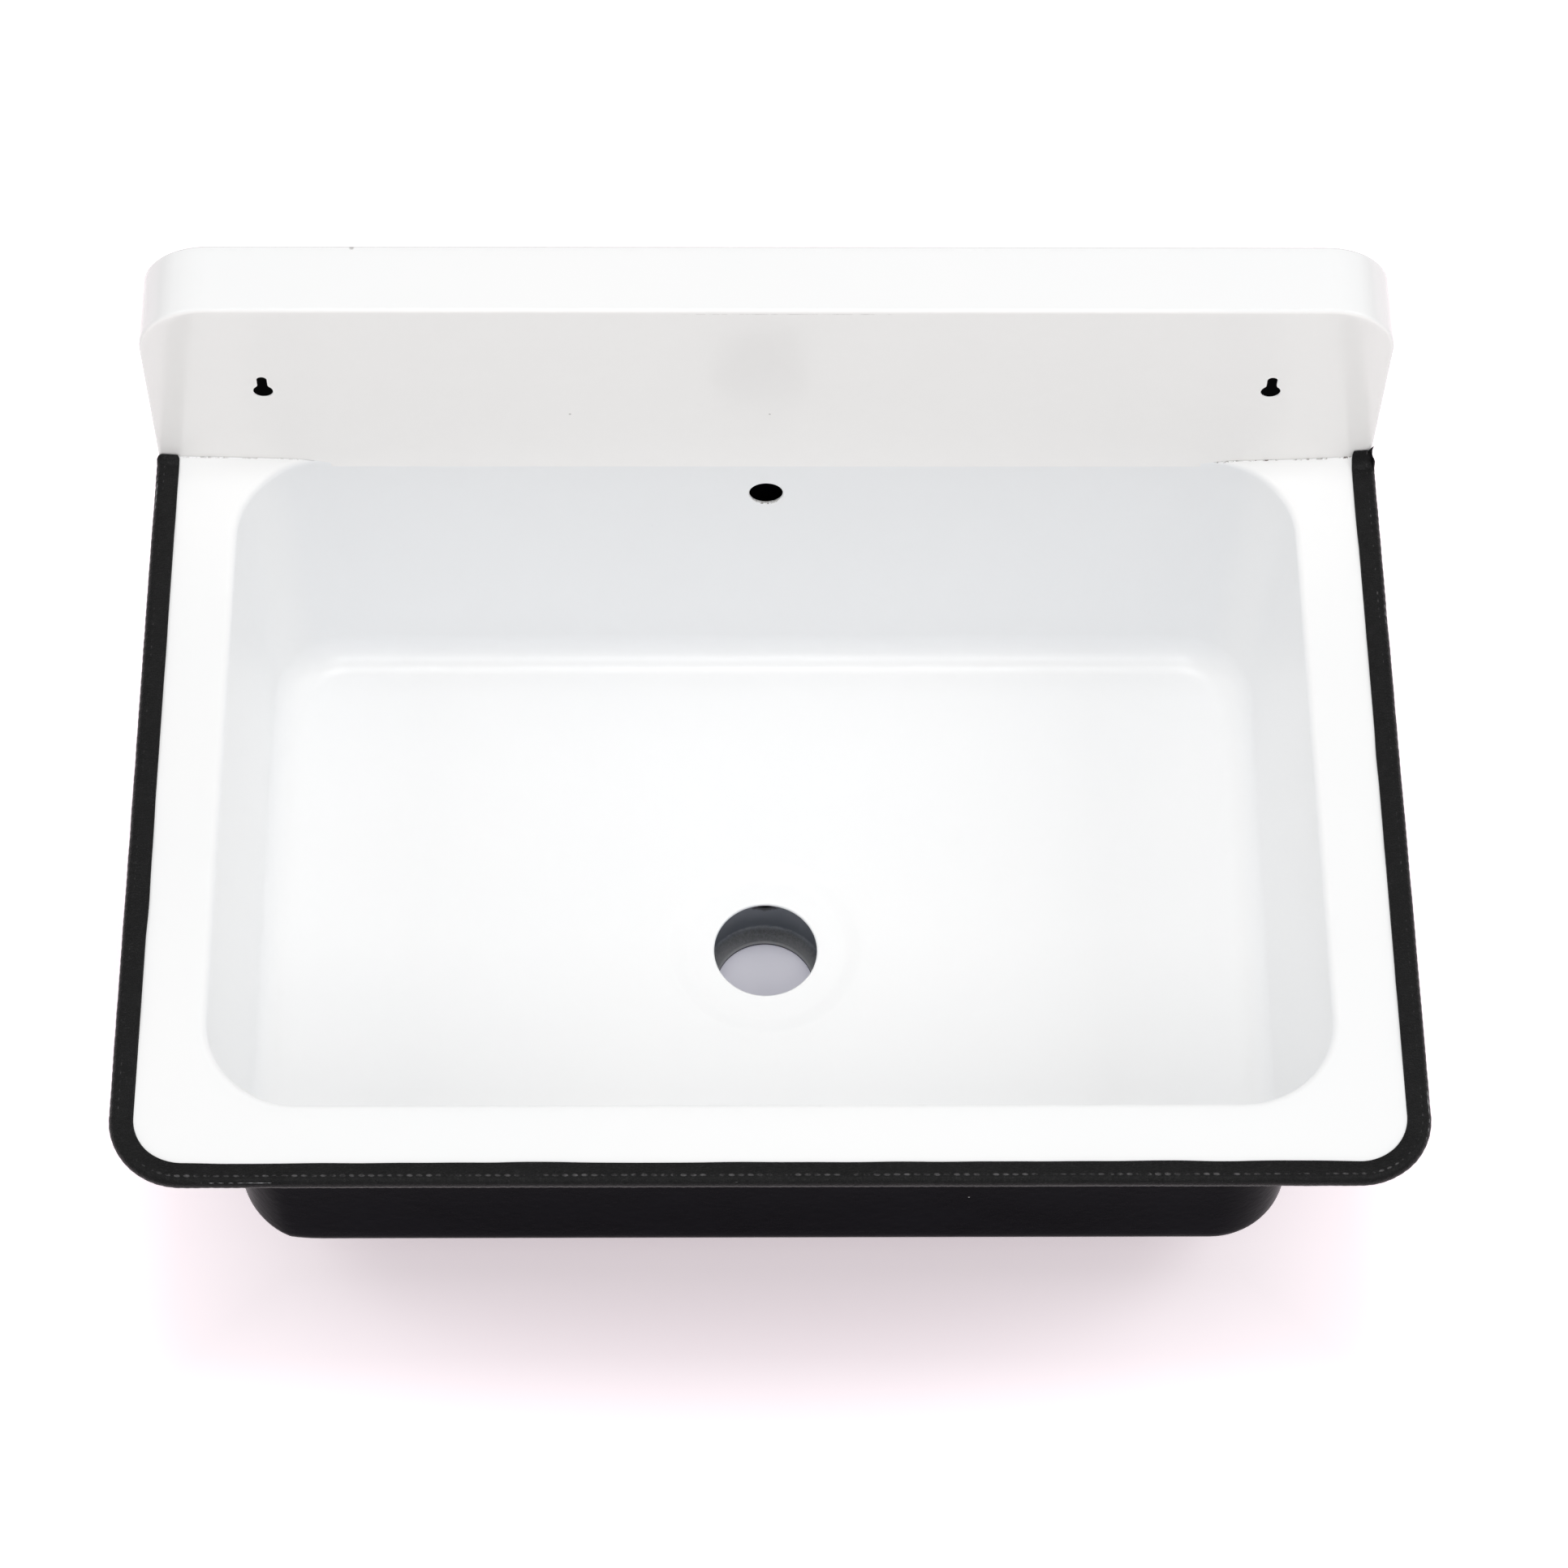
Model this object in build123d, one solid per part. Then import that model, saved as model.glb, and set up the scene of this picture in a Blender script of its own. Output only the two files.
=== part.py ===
from build123d import *
import math
import os

# Wall-hung bucket sink of enamelled steel sheet with a push-on edge trim, in millimetres.
# X runs along the wall, +Y goes back to the wall and +Z is up.
# The origin is midway between the two keyholes, on the front face of the splashback.

# Sheet and rim
sheet = 2.0                    # enamelled sheet of the basin and the splashback
rim_width = 34.0               # bowl's wall to the rim's outer edge, at the sides and the front
rim_corner_radius = 28.0       # front corners of the rim, seen from above
keyhole_above_rim = 50.0       # round end of a keyhole above the rim's top

# Bowl
opening_width = 448.0          # between the side walls at the rim
opening_reach = 306.0          # splashback face to the front wall at the rim
opening_corner_radius = 38.0   # bowl corners at the rim, seen from above
bowl_depth = 148.0             # rim's top to the floor
wall_draft = 2.0               # degrees that each wall leans inwards
lip_radius = 6.0               # bend from the rim down into the bowl
floor_radius = 15.0            # bend from the walls to the floor

# Drain
drain_from_face = 157.0        # splashback face to the centre of the drain
drain_hole_diameter = 45.0
recess_radius = 42.0           # edge of the shallow recess round the drain hole
recess_seat_radius = 35.0      # flat seat at the bottom of the recess
recess_depth = 2.5

# Overflow
overflow_hole_diameter = 14.4
overflow_below_rim = 25.0      # rim's top to the centre of the overflow hole
duct_sheet = 1.5
duct_width = 24.0              # clear width of the channel
duct_depth = 14.5              # clear depth of the channel
duct_headroom = 3.0            # channel above the overflow hole
duct_flange = 6.0              # welding flange beside the channel
duct_press_radius = 5.0        # outer edges of the channel

# Drain chamber
chamber_sheet = 2.0
chamber_radius = 28.7          # inside
chamber_depth = 28.5           # seat of the recess to the ledge, inside
outlet_slope_depth = 4.0       # ledge to the lip of the outlet
outlet_diameter = 43.5
outlet_ring = 2.0              # thickness of the bottom at the outlet
inlet_diameter = 10.4          # hole where the overflow channel runs in
inlet_drop = 7.3               # chamber's top to the centre of the inlet

# Splashback
splash_height = 106.0          # rim's top to the top of the splashback
splash_return = 33.0           # front face to the wall
splash_corner_radius = 28.0    # top corners, seen from the front
splash_bend_radius = 4.0       # bend from the face to the returns, outside
keyhole_from_side = 47.5       # splashback's side to the centre of a keyhole
keyhole_head_diameter = 8.2
keyhole_slot_width = 4.2
keyhole_slot_rise = 8.0        # centre of the round end to the centre of the slot's end

# Edge trim
trim_grip = 8.0                # how far the trim reaches in over the rim
trim_skin = 2.0                # trim outside the rim's edge
trim_height = 6.0              # at its round outer face
trim_lip_height = 4.4          # at the inner lips
trim_end_gap = 0.5             # trim's square-cut ends to the splashback

# Spring steel core of the trim
core_sheet = 0.5
core_cover = 0.4               # trim material between the core and the rim
core_leg = 6.0                 # how far the legs reach in over the rim
core_pitch = 3.8               # notch to notch, along the rim's edge
core_notch = 1.0               # width of a notch past the tips of the legs
core_spine = 1.1               # uncut strip round the bend
core_end_gap = 0.6             # core's ends to the trim's ends

# Levels and places worked out from the sizes above
sink_width = opening_width + 2 * rim_width
rim_reach = opening_reach + rim_width
keyhole_x = sink_width / 2 - keyhole_from_side
rim_top = -keyhole_above_rim
rim_middle = rim_top - sheet / 2
joint_level = rim_top - lip_radius
floor_level = rim_top - bowl_depth
seat_level = floor_level - recess_depth
chamber_top = seat_level - sheet
splash_top = rim_top + splash_height
drain_y = -drain_from_face
lean = math.tan(math.radians(wall_draft))
opening_back = lip_radius * lean
rim_edge_x = sink_width / 2
bevel_ratio = 2 - math.sqrt(2)  # a hidden bend is a bevel of this share of its radius
work_room = 40.0               # length of cutting solids past what they cut
tiny = 0.01                    # slack when edges are picked by their place


def rim_outline(grow, back):
    """Rim seen from above, grown by grow on its sides and front, ending at y = back."""
    half = rim_edge_x + grow
    front = -rim_reach - grow
    corner = rim_corner_radius + grow
    left_side = Line((-half, back), (-half, front + corner))
    left_arc = JernArc((-half, front + corner), (0, -1), corner, 90)
    front_side = Line((-half + corner, front), (half - corner, front))
    right_arc = JernArc((half - corner, front), (1, 0), corner, 90)
    right_side = Line((half, front + corner), (half, back))
    closing = Line((half, back), (-half, back))
    return make_face([left_side, left_arc, front_side, right_arc, right_side, closing])


def bowl_body(grow, bottom_radius):
    """Tapered solid that fills the bowl, grown by grow all round and downwards."""
    length = opening_reach + opening_back + 2 * grow
    outline = RectangleRounded(opening_width + 2 * grow, length, opening_corner_radius + grow)
    middle_y = (opening_back - opening_reach) / 2
    body = extrude(Pos(0, middle_y, rim_top) * outline, -(bowl_depth + grow), taper=wall_draft)
    bottom = body.faces().sort_by(Axis.Z)[0]
    return fillet(bottom.edges(), bottom_radius)


def around_opening(edge):
    """True for an edge round the opening, and not on the outline of the rim."""
    box = edge.bounding_box()
    widest = opening_width / 2 + sheet + lip_radius
    front = -opening_reach - sheet - lip_radius
    return max(-box.min.X, box.max.X) < widest and box.min.Y > front


def edges_at(solid, level):
    """Edges round the opening that lie at one level."""
    flat = solid.edges().filter_by_position(Axis.Z, level - tiny, level + tiny)
    return [edge for edge in flat if around_opening(edge)]


def recess_body(grow, top):
    """Shallow dish round the drain, from top down to its seat, or to its underside when grown."""
    floor = floor_level - grow
    slope_angle = math.atan2(recess_depth, recess_radius - recess_seat_radius)
    shift = grow * math.tan(slope_angle / 2)
    outer = recess_radius + work_room
    profile = Polyline(
        (0, floor - recess_depth),
        (recess_seat_radius + shift, floor - recess_depth),
        (recess_radius + shift, floor),
        (outer, floor),
        (outer, top),
        (0, top),
        close=True,
    )
    return Pos(0, drain_y, 0) * revolve(Plane.XZ * make_face(profile), Axis.Z)


def basin():
    """Drawn bowl and rim in one sheet, cut off level behind, where the splashback stands on it."""
    slab = extrude(Pos(0, 0, rim_top) * rim_outline(0, work_room), -sheet)
    outside = slab + bowl_body(sheet, floor_radius + sheet)
    outside = chamfer(edges_at(outside, rim_top - sheet), (lip_radius - sheet) * bevel_ratio)
    shell = outside - bowl_body(0, floor_radius)
    shell = fillet(edges_at(shell, rim_top), lip_radius)
    shell = shell + recess_body(sheet, floor_level - sheet / 2)
    shell = shell - recess_body(0, floor_level + work_room)
    shell = shell - Pos(0, drain_y, seat_level) * Cylinder(drain_hole_diameter / 2, work_room)
    overflow_level = rim_top - overflow_below_rim
    along_y = Pos(0, 0, overflow_level) * Rot(90, 0, 0)
    shell = shell - along_y * Cylinder(overflow_hole_diameter / 2, work_room)
    behind = Pos(0, 0, joint_level) * Box(
        sink_width + work_room,
        2 * work_room,
        work_room,
        align=(Align.CENTER, Align.MIN, Align.MIN),
    )
    return shell - behind


def splash_body(inset, front, back, bottom):
    """Solid with the splashback's outline, inset all round, from y = front to y = back, unbent."""
    half = rim_edge_x - inset
    top = splash_top - inset
    corner = splash_corner_radius - inset
    outline = make_face([
        Line((half, bottom), (half, top - corner)),
        JernArc((half, top - corner), (0, 1), corner, 90),
        Line((half - corner, top), (-half + corner, top)),
        JernArc((-half + corner, top), (-1, 0), corner, 90),
        Line((-half, top - corner), (-half, bottom)),
        Line((-half, bottom), (half, bottom)),
    ])
    return extrude(Plane.XZ.offset(-front) * outline, -(back - front))


def bent_edges(body, front, bottom):
    """Edges of the front face where the sheet turns back, all but the bottom one."""
    front_edges = body.edges().filter_by_position(Axis.Y, front - tiny, front + tiny)
    return [edge for edge in front_edges if edge.center().Z > bottom + tiny]


def keyhole_cutter(x):
    """Round entry with a narrower slot that runs up from it."""
    width = keyhole_slot_width
    outline = Circle(keyhole_head_diameter / 2)
    outline = outline + Pos(0, keyhole_slot_rise / 2) * Rectangle(width, keyhole_slot_rise)
    outline = outline + Pos(0, keyhole_slot_rise) * Circle(width / 2)
    return extrude(Plane.XZ.offset(-work_room / 2) * Pos(x, 0) * outline, work_room)


def splashback():
    """Pressed panel whose top and sides turn back to the wall, open behind and below."""
    panel = splash_body(0, 0, splash_return, joint_level)
    panel = fillet(bent_edges(panel, 0, joint_level), splash_bend_radius)
    hollow_bottom = joint_level - work_room
    hollow = splash_body(sheet, sheet, splash_return + work_room, hollow_bottom)
    inner_edges = bent_edges(hollow, sheet, hollow_bottom)
    panel = panel - chamfer(inner_edges, (splash_bend_radius - sheet) * bevel_ratio)
    for side in (-1, 1):
        panel = panel - keyhole_cutter(side * keyhole_x)
    return panel


def behind_bowl(depth, top):
    """Side view of the channel's path behind and under the bowl, depth deep, as a face."""
    outside_y = opening_back + sheet + depth / math.cos(math.radians(wall_draft))
    bottom = floor_level - sheet - depth
    wall_y_top = outside_y - (rim_top - top) * lean
    wall_y_bottom = outside_y - (rim_top - bottom) * lean
    bend = floor_radius + sheet + depth
    path = FilletPolyline(
        (wall_y_top, top), (wall_y_bottom, bottom), (drain_y, bottom), radius=bend
    )
    inner_y = wall_y_top - depth - 2 * bend
    inner_level = bottom + 2 * bend
    closing = Polyline(
        (drain_y, bottom), (drain_y, inner_level), (inner_y, inner_level), (inner_y, top), (wall_y_top, top)
    )
    return make_face([*path.edges(), *closing.edges()])


def channel_form(depth, width, top, press_radius):
    """Solid along the channel's path, with the bends away from the bowl bevelled."""
    side_view = behind_bowl(depth, top)
    solid = extrude(Plane.YZ.offset(-width / 2) * side_view, width)
    if press_radius <= 0:
        return solid
    limit_y = opening_back + sheet - bowl_depth * lean
    limit_z = floor_level - sheet
    outer_edges = []
    for edge in solid.edges():
        middle = edge.center()
        away = middle.Y > limit_y or middle.Z < limit_z
        if abs(abs(middle.X) - width / 2) < tiny and away:
            outer_edges.append(edge)
    return chamfer(outer_edges, press_radius * bevel_ratio)


def chamber_outside():
    """Filled outer form of the drain chamber, down from the underside of the basin."""
    height = chamber_depth + outlet_slope_depth + outlet_ring
    hang = (Align.CENTER, Align.CENTER, Align.MAX)
    return Pos(0, drain_y, chamber_top) * Cylinder(chamber_radius + chamber_sheet, height, align=hang)


def drain_chamber():
    """Cup under the drain hole that takes the overflow's water and narrows to the outlet."""
    ledge = chamber_top - chamber_depth
    lip = ledge - outlet_slope_depth
    outlet_radius = outlet_diameter / 2
    hollow = Polyline(
        (0, chamber_top + sheet),
        (chamber_radius, chamber_top + sheet),
        (chamber_radius, ledge),
        (outlet_radius, lip),
        (outlet_radius, lip - work_room),
        (0, lip - work_room),
        close=True,
    )
    cavity = Pos(0, drain_y, 0) * revolve(Plane.XZ * make_face(hollow), Axis.Z)
    inlet_level = chamber_top - inlet_drop
    inlet = Pos(0, drain_y, inlet_level) * Rot(-90, 0, 0) * Cylinder(
        inlet_diameter / 2, chamber_radius + work_room, align=(Align.CENTER, Align.CENTER, Align.MIN)
    )
    return chamber_outside() - cavity - inlet


def overflow_duct():
    """Pressed channel from behind the overflow hole, round under the floor, to the drain chamber."""
    hole_top = rim_top - overflow_below_rim + overflow_hole_diameter / 2
    inner_top = hole_top + duct_headroom
    outer_top = inner_top + duct_sheet
    outer_width = duct_width + 2 * duct_sheet
    outer = channel_form(duct_depth + duct_sheet, outer_width, outer_top, duct_press_radius)
    flange = channel_form(duct_sheet, outer_width + 2 * duct_flange, outer_top + duct_flange, 0)
    inner = channel_form(duct_depth, duct_width, inner_top, duct_press_radius - duct_sheet)
    duct = outer + flange - inner
    duct = duct - bowl_body(sheet, floor_radius + sheet)
    duct = duct - recess_body(sheet, floor_level)
    return duct - chamber_outside()


def edge_trim():
    """Push-on trim round the rim's sides and front, with a channel inside it for the core."""
    back = -trim_end_gap
    inner = -trim_grip
    nose = trim_height / 2
    nose_x = trim_skin - nose
    lips = Polyline(
        (nose_x, nose), (inner, trim_lip_height / 2), (inner, -trim_lip_height / 2), (nose_x, -nose)
    )
    round_face = ThreePointArc((nose_x, -nose), (trim_skin, 0), (nose_x, nose))
    skin = make_face([*lips.edges(), round_face])
    mouth = Pos(-work_room / 2, 0) * Rectangle(work_room, sheet)
    section = skin - mouth - core_section()
    start = Plane(origin=(-rim_edge_x, back, rim_middle), x_dir=(-1, 0, 0), z_dir=(0, 1, 0))
    return sweep(start * section, rim_path(back))


def core_section():
    """Cross-section of the core: x runs outwards from the rim's edge, y upwards."""
    inside = sheet / 2 + core_cover
    outer_x = core_cover + core_sheet
    reach = core_leg + outer_x
    solid_block = Pos(outer_x - reach / 2, 0) * Rectangle(reach, 2 * (inside + core_sheet))
    hollow = Pos(core_cover - work_room / 2, 0) * Rectangle(work_room, 2 * inside)
    return solid_block - hollow


def rim_path(back):
    """Line round the rim's edge, from its left end at y = back to its right end."""
    half = rim_edge_x
    corner = rim_corner_radius
    front = -rim_reach
    return Wire([
        Line((-half, back, rim_middle), (-half, front + corner, rim_middle)),
        JernArc((-half, front + corner, rim_middle), (0, -1, 0), corner, 90),
        Line((-half + corner, front, rim_middle), (half - corner, front, rim_middle)),
        JernArc((half - corner, front, rim_middle), (1, 0, 0), corner, 90),
        Line((half, front + corner, rim_middle), (half, back, rim_middle)),
    ])


def core_notches():
    """Pointed notches that part the core's legs round the two front corners, seen from above."""
    root = rim_corner_radius + core_cover + core_sheet - core_spine
    mouth = rim_corner_radius - core_leg - core_notch
    half = core_notch / 2
    notch = make_face(Polyline((root, 0), (mouth, half), (mouth, -half), close=True))
    count = int(math.radians(90) * rim_corner_radius / core_pitch)
    notches = []
    for side in (-1, 1):
        corner = Pos(side * (rim_edge_x - rim_corner_radius), rim_corner_radius - rim_reach)
        for number in range(count):
            angle = side * (number + 0.5) * 90 / count - 90
            notches.append(corner * Rot(0, 0, angle) * notch)
    return notches


def trim_core():
    """Spring steel strip folded over the rim inside the trim, its legs notched so that it bends."""
    back = -trim_end_gap - core_end_gap
    inside = sheet / 2 + core_cover
    outer = core_cover + core_sheet
    leg = rim_outline(outer, back) - rim_outline(-core_leg, back) - core_notches()
    fold = rim_outline(outer, back) - rim_outline(core_cover, back)
    upper = extrude(Pos(0, 0, rim_middle + inside) * leg, core_sheet)
    lower = extrude(Pos(0, 0, rim_middle - inside) * leg, -core_sheet)
    spine = extrude(Pos(0, 0, rim_middle - inside) * fold, 2 * inside)
    return spine + upper + lower


parts = {
    "basin": basin(),
    "splashback": splashback(),
    "overflow_duct": overflow_duct(),
    "drain_chamber": drain_chamber(),
    "edge_trim": edge_trim(),
    "trim_core": trim_core(),
}
os.makedirs("parts", exist_ok=True)
for name, solid in parts.items():
    export_step(solid, f"parts/{name}.step")
    print(name, round(solid.volume), solid.is_valid, len(solid.solids()))
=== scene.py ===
import math
import bmesh
import bpy
import numpy as np
from mathutils import Matrix, Vector
from types import SimpleNamespace


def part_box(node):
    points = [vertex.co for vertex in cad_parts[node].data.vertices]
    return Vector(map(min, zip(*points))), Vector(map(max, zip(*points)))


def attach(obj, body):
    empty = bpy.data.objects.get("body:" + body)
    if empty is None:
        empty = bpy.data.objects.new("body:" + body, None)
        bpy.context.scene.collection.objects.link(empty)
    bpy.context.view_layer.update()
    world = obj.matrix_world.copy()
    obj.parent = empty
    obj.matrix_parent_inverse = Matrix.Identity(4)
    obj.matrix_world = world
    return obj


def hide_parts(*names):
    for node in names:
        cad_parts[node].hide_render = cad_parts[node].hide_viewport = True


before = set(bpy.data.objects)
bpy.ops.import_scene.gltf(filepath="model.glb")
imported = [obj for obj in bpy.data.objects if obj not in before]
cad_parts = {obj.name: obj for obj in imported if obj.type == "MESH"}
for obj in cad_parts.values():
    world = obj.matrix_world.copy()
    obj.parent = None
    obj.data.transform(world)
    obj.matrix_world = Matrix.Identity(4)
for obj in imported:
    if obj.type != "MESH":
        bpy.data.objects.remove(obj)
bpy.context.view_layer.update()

# Everything is in metres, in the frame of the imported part: x along the wall, +y back to the wall, +z up.
mm = 0.001
basinLow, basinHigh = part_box("basin")
splashLow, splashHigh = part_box("splashback")
chamberLow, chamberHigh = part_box("drain_chamber")
print("frame loaded:", len(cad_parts), "nodes")

rim = SimpleNamespace(
    top=basinHigh.z,
    halfWidth=basinHigh.x,
    front=basinLow.y,
    cornerRadius=28 * mm,
    sheet=2 * mm,
    faceY=splashLow.y,
    joint=splashLow.z,
)


# Meshes: whole arrays in, one mesh out

def joined(*parts):
    # arrays and single numbers, spread to one shape and joined into the last axis
    return np.stack(np.broadcast_arrays(*parts), -1)


def makeMesh(name, points, quads, materials, faceSlots=None, sharpAngle=38):
    # one mesh from an array of corner points and an array of four-cornered faces
    mesh = bpy.data.meshes.new(name)
    mesh.vertices.add(len(points))
    mesh.vertices.foreach_set("co", np.ascontiguousarray(points, np.float32).ravel())
    mesh.loops.add(quads.size)
    mesh.loops.foreach_set("vertex_index", np.ascontiguousarray(quads, np.int32).ravel())
    mesh.polygons.add(len(quads))
    mesh.polygons.foreach_set("loop_start", np.arange(0, quads.size, 4, dtype=np.int32))
    if faceSlots is not None:
        mesh.polygons.foreach_set("material_index", np.ascontiguousarray(faceSlots, np.int32))
    mesh.update(calc_edges=True)
    mesh.polygons.foreach_set("use_smooth", np.ones(len(quads), bool))
    mesh.set_sharp_from_angle(angle=math.radians(sharpAngle))
    for material in materials:
        mesh.materials.append(material)
    piece = bpy.data.objects.new(name, mesh)
    bpy.context.scene.collection.objects.link(piece)
    return piece


def unit(vectors):
    return vectors / np.maximum(np.linalg.norm(vectors, axis=1, keepdims=True), 1e-12)


def clamp(values):
    return np.clip(values, 0, 1)


def between(first, last, count):
    # count rings that run straight from one ring to another in even steps, without the first
    share = np.linspace(0, 1, count + 1)[1:, None, None]
    return (1 - share) * first[None] + share * last[None]


def gridQuads(rows, columns, start=0, wrap=False):
    # faces of a grid whose points are numbered row by row; wrap joins the last column to the first
    across = columns if wrap else columns - 1
    row, column = np.meshgrid(np.arange(rows - 1), np.arange(across), indexing="ij")
    nextColumn = (column + 1) % columns
    a = start + row * columns + column
    b = start + row * columns + nextColumn
    return joined(a, b, b + columns, a + columns).reshape(-1, 4)


def pointNormals(points, quads):
    # the sum of the faces' own normals, each as long as its face is large, made one long
    corners = points[quads]
    faceNormals = np.cross(corners[:, 2] - corners[:, 0], corners[:, 3] - corners[:, 1])
    normals = np.zeros_like(points)
    for corner in range(4):
        np.add.at(normals, quads[:, corner], faceNormals)
    return unit(normals)


def freeEdges(quads, count):
    # edges used by one face only, in that face's own direction
    ends = joined(quads, np.roll(quads, -1, axis=1)).reshape(-1, 2)
    forward = ends[:, 0].astype(np.int64) * count + ends[:, 1]
    backward = ends[:, 1].astype(np.int64) * count + ends[:, 0]
    return ends[~np.isin(forward, backward)]


def blockRim(i0, i1, j0, j1, columns, start=0):
    # the numbers of the grid points round a block of cells, once round
    i, j = np.arange(i0, i1), np.arange(j0, j1)
    down, right = np.arange(i1, i0, -1), np.arange(j1, j0, -1)
    rows = np.concatenate([i, np.full(len(j), i1), down, np.full(len(right), i0)])
    cols = np.concatenate([np.full(len(i), j0), j, np.full(len(down), j1), right])
    return start + rows * columns + cols


def ringQuads(first, second):
    # faces between two closed rings of as many points
    return joined(first, np.roll(first, -1), np.roll(second, -1), second)


def holePatch(points, quads, rimNumbers, outline, rings):
    # rings that run straight from the rim of a block to a hole's outline, in even steps
    patch = between(points[rimNumbers], outline, rings)
    numbers = len(points) + np.arange(rings * len(outline)).reshape(rings, -1)
    loops = np.vstack([rimNumbers[None], numbers])
    faces = [ringQuads(loops[k], loops[k + 1]) for k in range(rings)]
    return np.vstack([points, patch.reshape(-1, 3)]), np.vstack([quads] + faces), numbers[-1]


def dropUnused(points, quads):
    used = np.unique(quads)
    renumber = np.full(len(points), -1)
    renumber[used] = np.arange(len(used))
    return points[used], renumber[quads], renumber


def weld(points, quads, values):
    # points at one place become one point, and faces that this closes up are dropped
    places = np.round(points * 1e7).astype(np.int64)
    _, first, number = np.unique(places, axis=0, return_index=True, return_inverse=True)
    quads = number.reshape(-1)[quads]
    whole = (quads != np.roll(quads, 1, axis=1)).all(axis=1)
    return points[first], quads[whole], values[first]


def faceOutwards(piece):
    work = bmesh.new()
    work.from_mesh(piece.data)
    bmesh.ops.recalc_face_normals(work, faces=work.faces)
    work.to_mesh(piece.data)
    work.free()


def thicken(points, quads, thickness, roundness, steps=8):
    # A sheet from one surface: each point has a twin one thickness behind it along its normal, and each
    # free edge a half-round band between the two. roundness is 1 where an edge is round and 0 where cut flat.
    normals = pointNormals(points, quads)
    count = len(points)
    thickness = np.broadcast_to(np.asarray(thickness, float), count)[:, None]
    edges = freeEdges(quads, count)
    edgePoints = np.unique(edges)
    after, before = np.zeros(count, int), np.zeros(count, int)
    after[edges[:, 0]] = edges[:, 1]
    before[edges[:, 1]] = edges[:, 0]
    along = points[after[edgePoints]] - points[before[edgePoints]]
    outward = unit(np.cross(along, normals[edgePoints]))
    middle = points[edgePoints] - normals[edgePoints] * thickness[edgePoints] / 2
    turn = np.linspace(0, np.pi, steps + 1)[1:-1, None, None]
    bulge = np.sin(turn) * outward[None] * roundness[edgePoints][None, :, None]
    band = middle[None] + (np.cos(turn) * normals[edgePoints][None] + bulge) * thickness[edgePoints][None] / 2
    back = points - normals * thickness
    bandStart = 2 * count
    place = np.full(count, -1)
    place[edgePoints] = np.arange(len(edgePoints))
    layers = [lambda e: e] + [
        (lambda e, k=k: bandStart + k * len(edgePoints) + place[e]) for k in range(steps - 1)
    ] + [lambda e: e + count]
    bands = [
        np.stack([upper(edges[:, 1]), upper(edges[:, 0]), lower(edges[:, 0]), lower(edges[:, 1])], -1)
        for upper, lower in zip(layers[:-1], layers[1:])
    ]
    allPoints = np.vstack([points, back, band.reshape(-1, 3)])
    allQuads = np.vstack([quads, quads[:, ::-1] + count] + bands)
    whiteBands = int(round(steps * 0.7))     # the first material's coat reaches this far round the edge
    slots = np.concatenate(
        [np.zeros(len(quads)), np.ones(len(quads))]
        + [np.full(len(edges), 0 if k < whiteBands else 1) for k in range(steps)]
    )
    return allPoints, allQuads, slots.astype(int)


def roundedStations(halfX, backY, frontY, arcSteps, sideSteps, frontSteps, backXs):
    # Stations round a rectangle of corner centres, clockwise from the back right one as seen from above:
    # each has a corner-centre point and a direction, so that a ring at radius r is point + r * direction.
    quarter = np.linspace(0, np.pi / 2, arcSteps + 1)
    side = np.linspace(0, 1, sideSteps + 1)[1:-1]
    front = np.linspace(0, 1, frontSteps + 1)[1:-1]
    spots, angles, kinds = [], [], []

    def add(x, y, angle, kind):
        x, y, angle = np.broadcast_arrays(np.asarray(x, float), y, angle)
        spots.append(joined(x, y))
        angles.append(angle.copy())
        kinds.append(np.full(len(x), kind))

    add(halfX, backY, np.pi / 2 - quarter, 1)
    add(halfX, backY + (frontY - backY) * side, 0.0, 0)
    add(halfX, frontY, -quarter, 0)
    add(halfX - 2 * halfX * front, frontY, -np.pi / 2, 0)
    add(-halfX, frontY, -np.pi / 2 - quarter, 0)
    add(-halfX, frontY + (backY - frontY) * side, -np.pi, 0)
    add(-halfX, backY, -np.pi - quarter, 2)
    add(backXs, backY, np.pi / 2, 3)
    return np.vstack(spots), np.concatenate(angles), np.concatenate(kinds)


def roundedPath(corners, radii, arcSteps):
    # a line through corner points, with each corner cut back and turned on an arc of its own radius
    corners = np.asarray(corners, float)
    pieces = [corners[:1]]
    for k in range(1, len(corners) - 1):
        back = corners[k - 1] - corners[k]
        ahead = corners[k + 1] - corners[k]
        back, ahead = back / np.linalg.norm(back), ahead / np.linalg.norm(ahead)
        half = math.acos(np.clip(back @ ahead, -1, 1)) / 2
        radius = radii[k - 1]
        centre = corners[k] + (back + ahead) / np.linalg.norm(back + ahead) * radius / math.sin(half)
        first = corners[k] + back * radius / math.tan(half)
        last = corners[k] + ahead * radius / math.tan(half)
        start, sweep = first - centre, math.pi - 2 * half
        side = (last - centre) - start * math.cos(sweep)
        side = side / max(np.linalg.norm(side), 1e-12) * radius
        turn = np.linspace(0, sweep, arcSteps + 1)[:, None]
        pieces.append(centre + np.cos(turn) * start + np.sin(turn) * side)
    pieces.append(corners[-1:])
    return np.vstack(pieces)


def atLevels(rings, levels):
    # rings of points seen from above, each ring at its own level, or all of them at one
    levels = np.reshape(levels, (-1, 1, 1))
    return np.concatenate([rings, np.broadcast_to(levels, rings.shape[:2] + (1,))], -1)


def softRamp(x, bend):
    # from 0 to 1 as x goes from 0 to 1, straight between two bends that are rounded over about bend
    return (np.sqrt(x * x + bend * bend) + x - np.sqrt((x - 1) ** 2 + bend * bend) - (x - 1)) / 2


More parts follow.
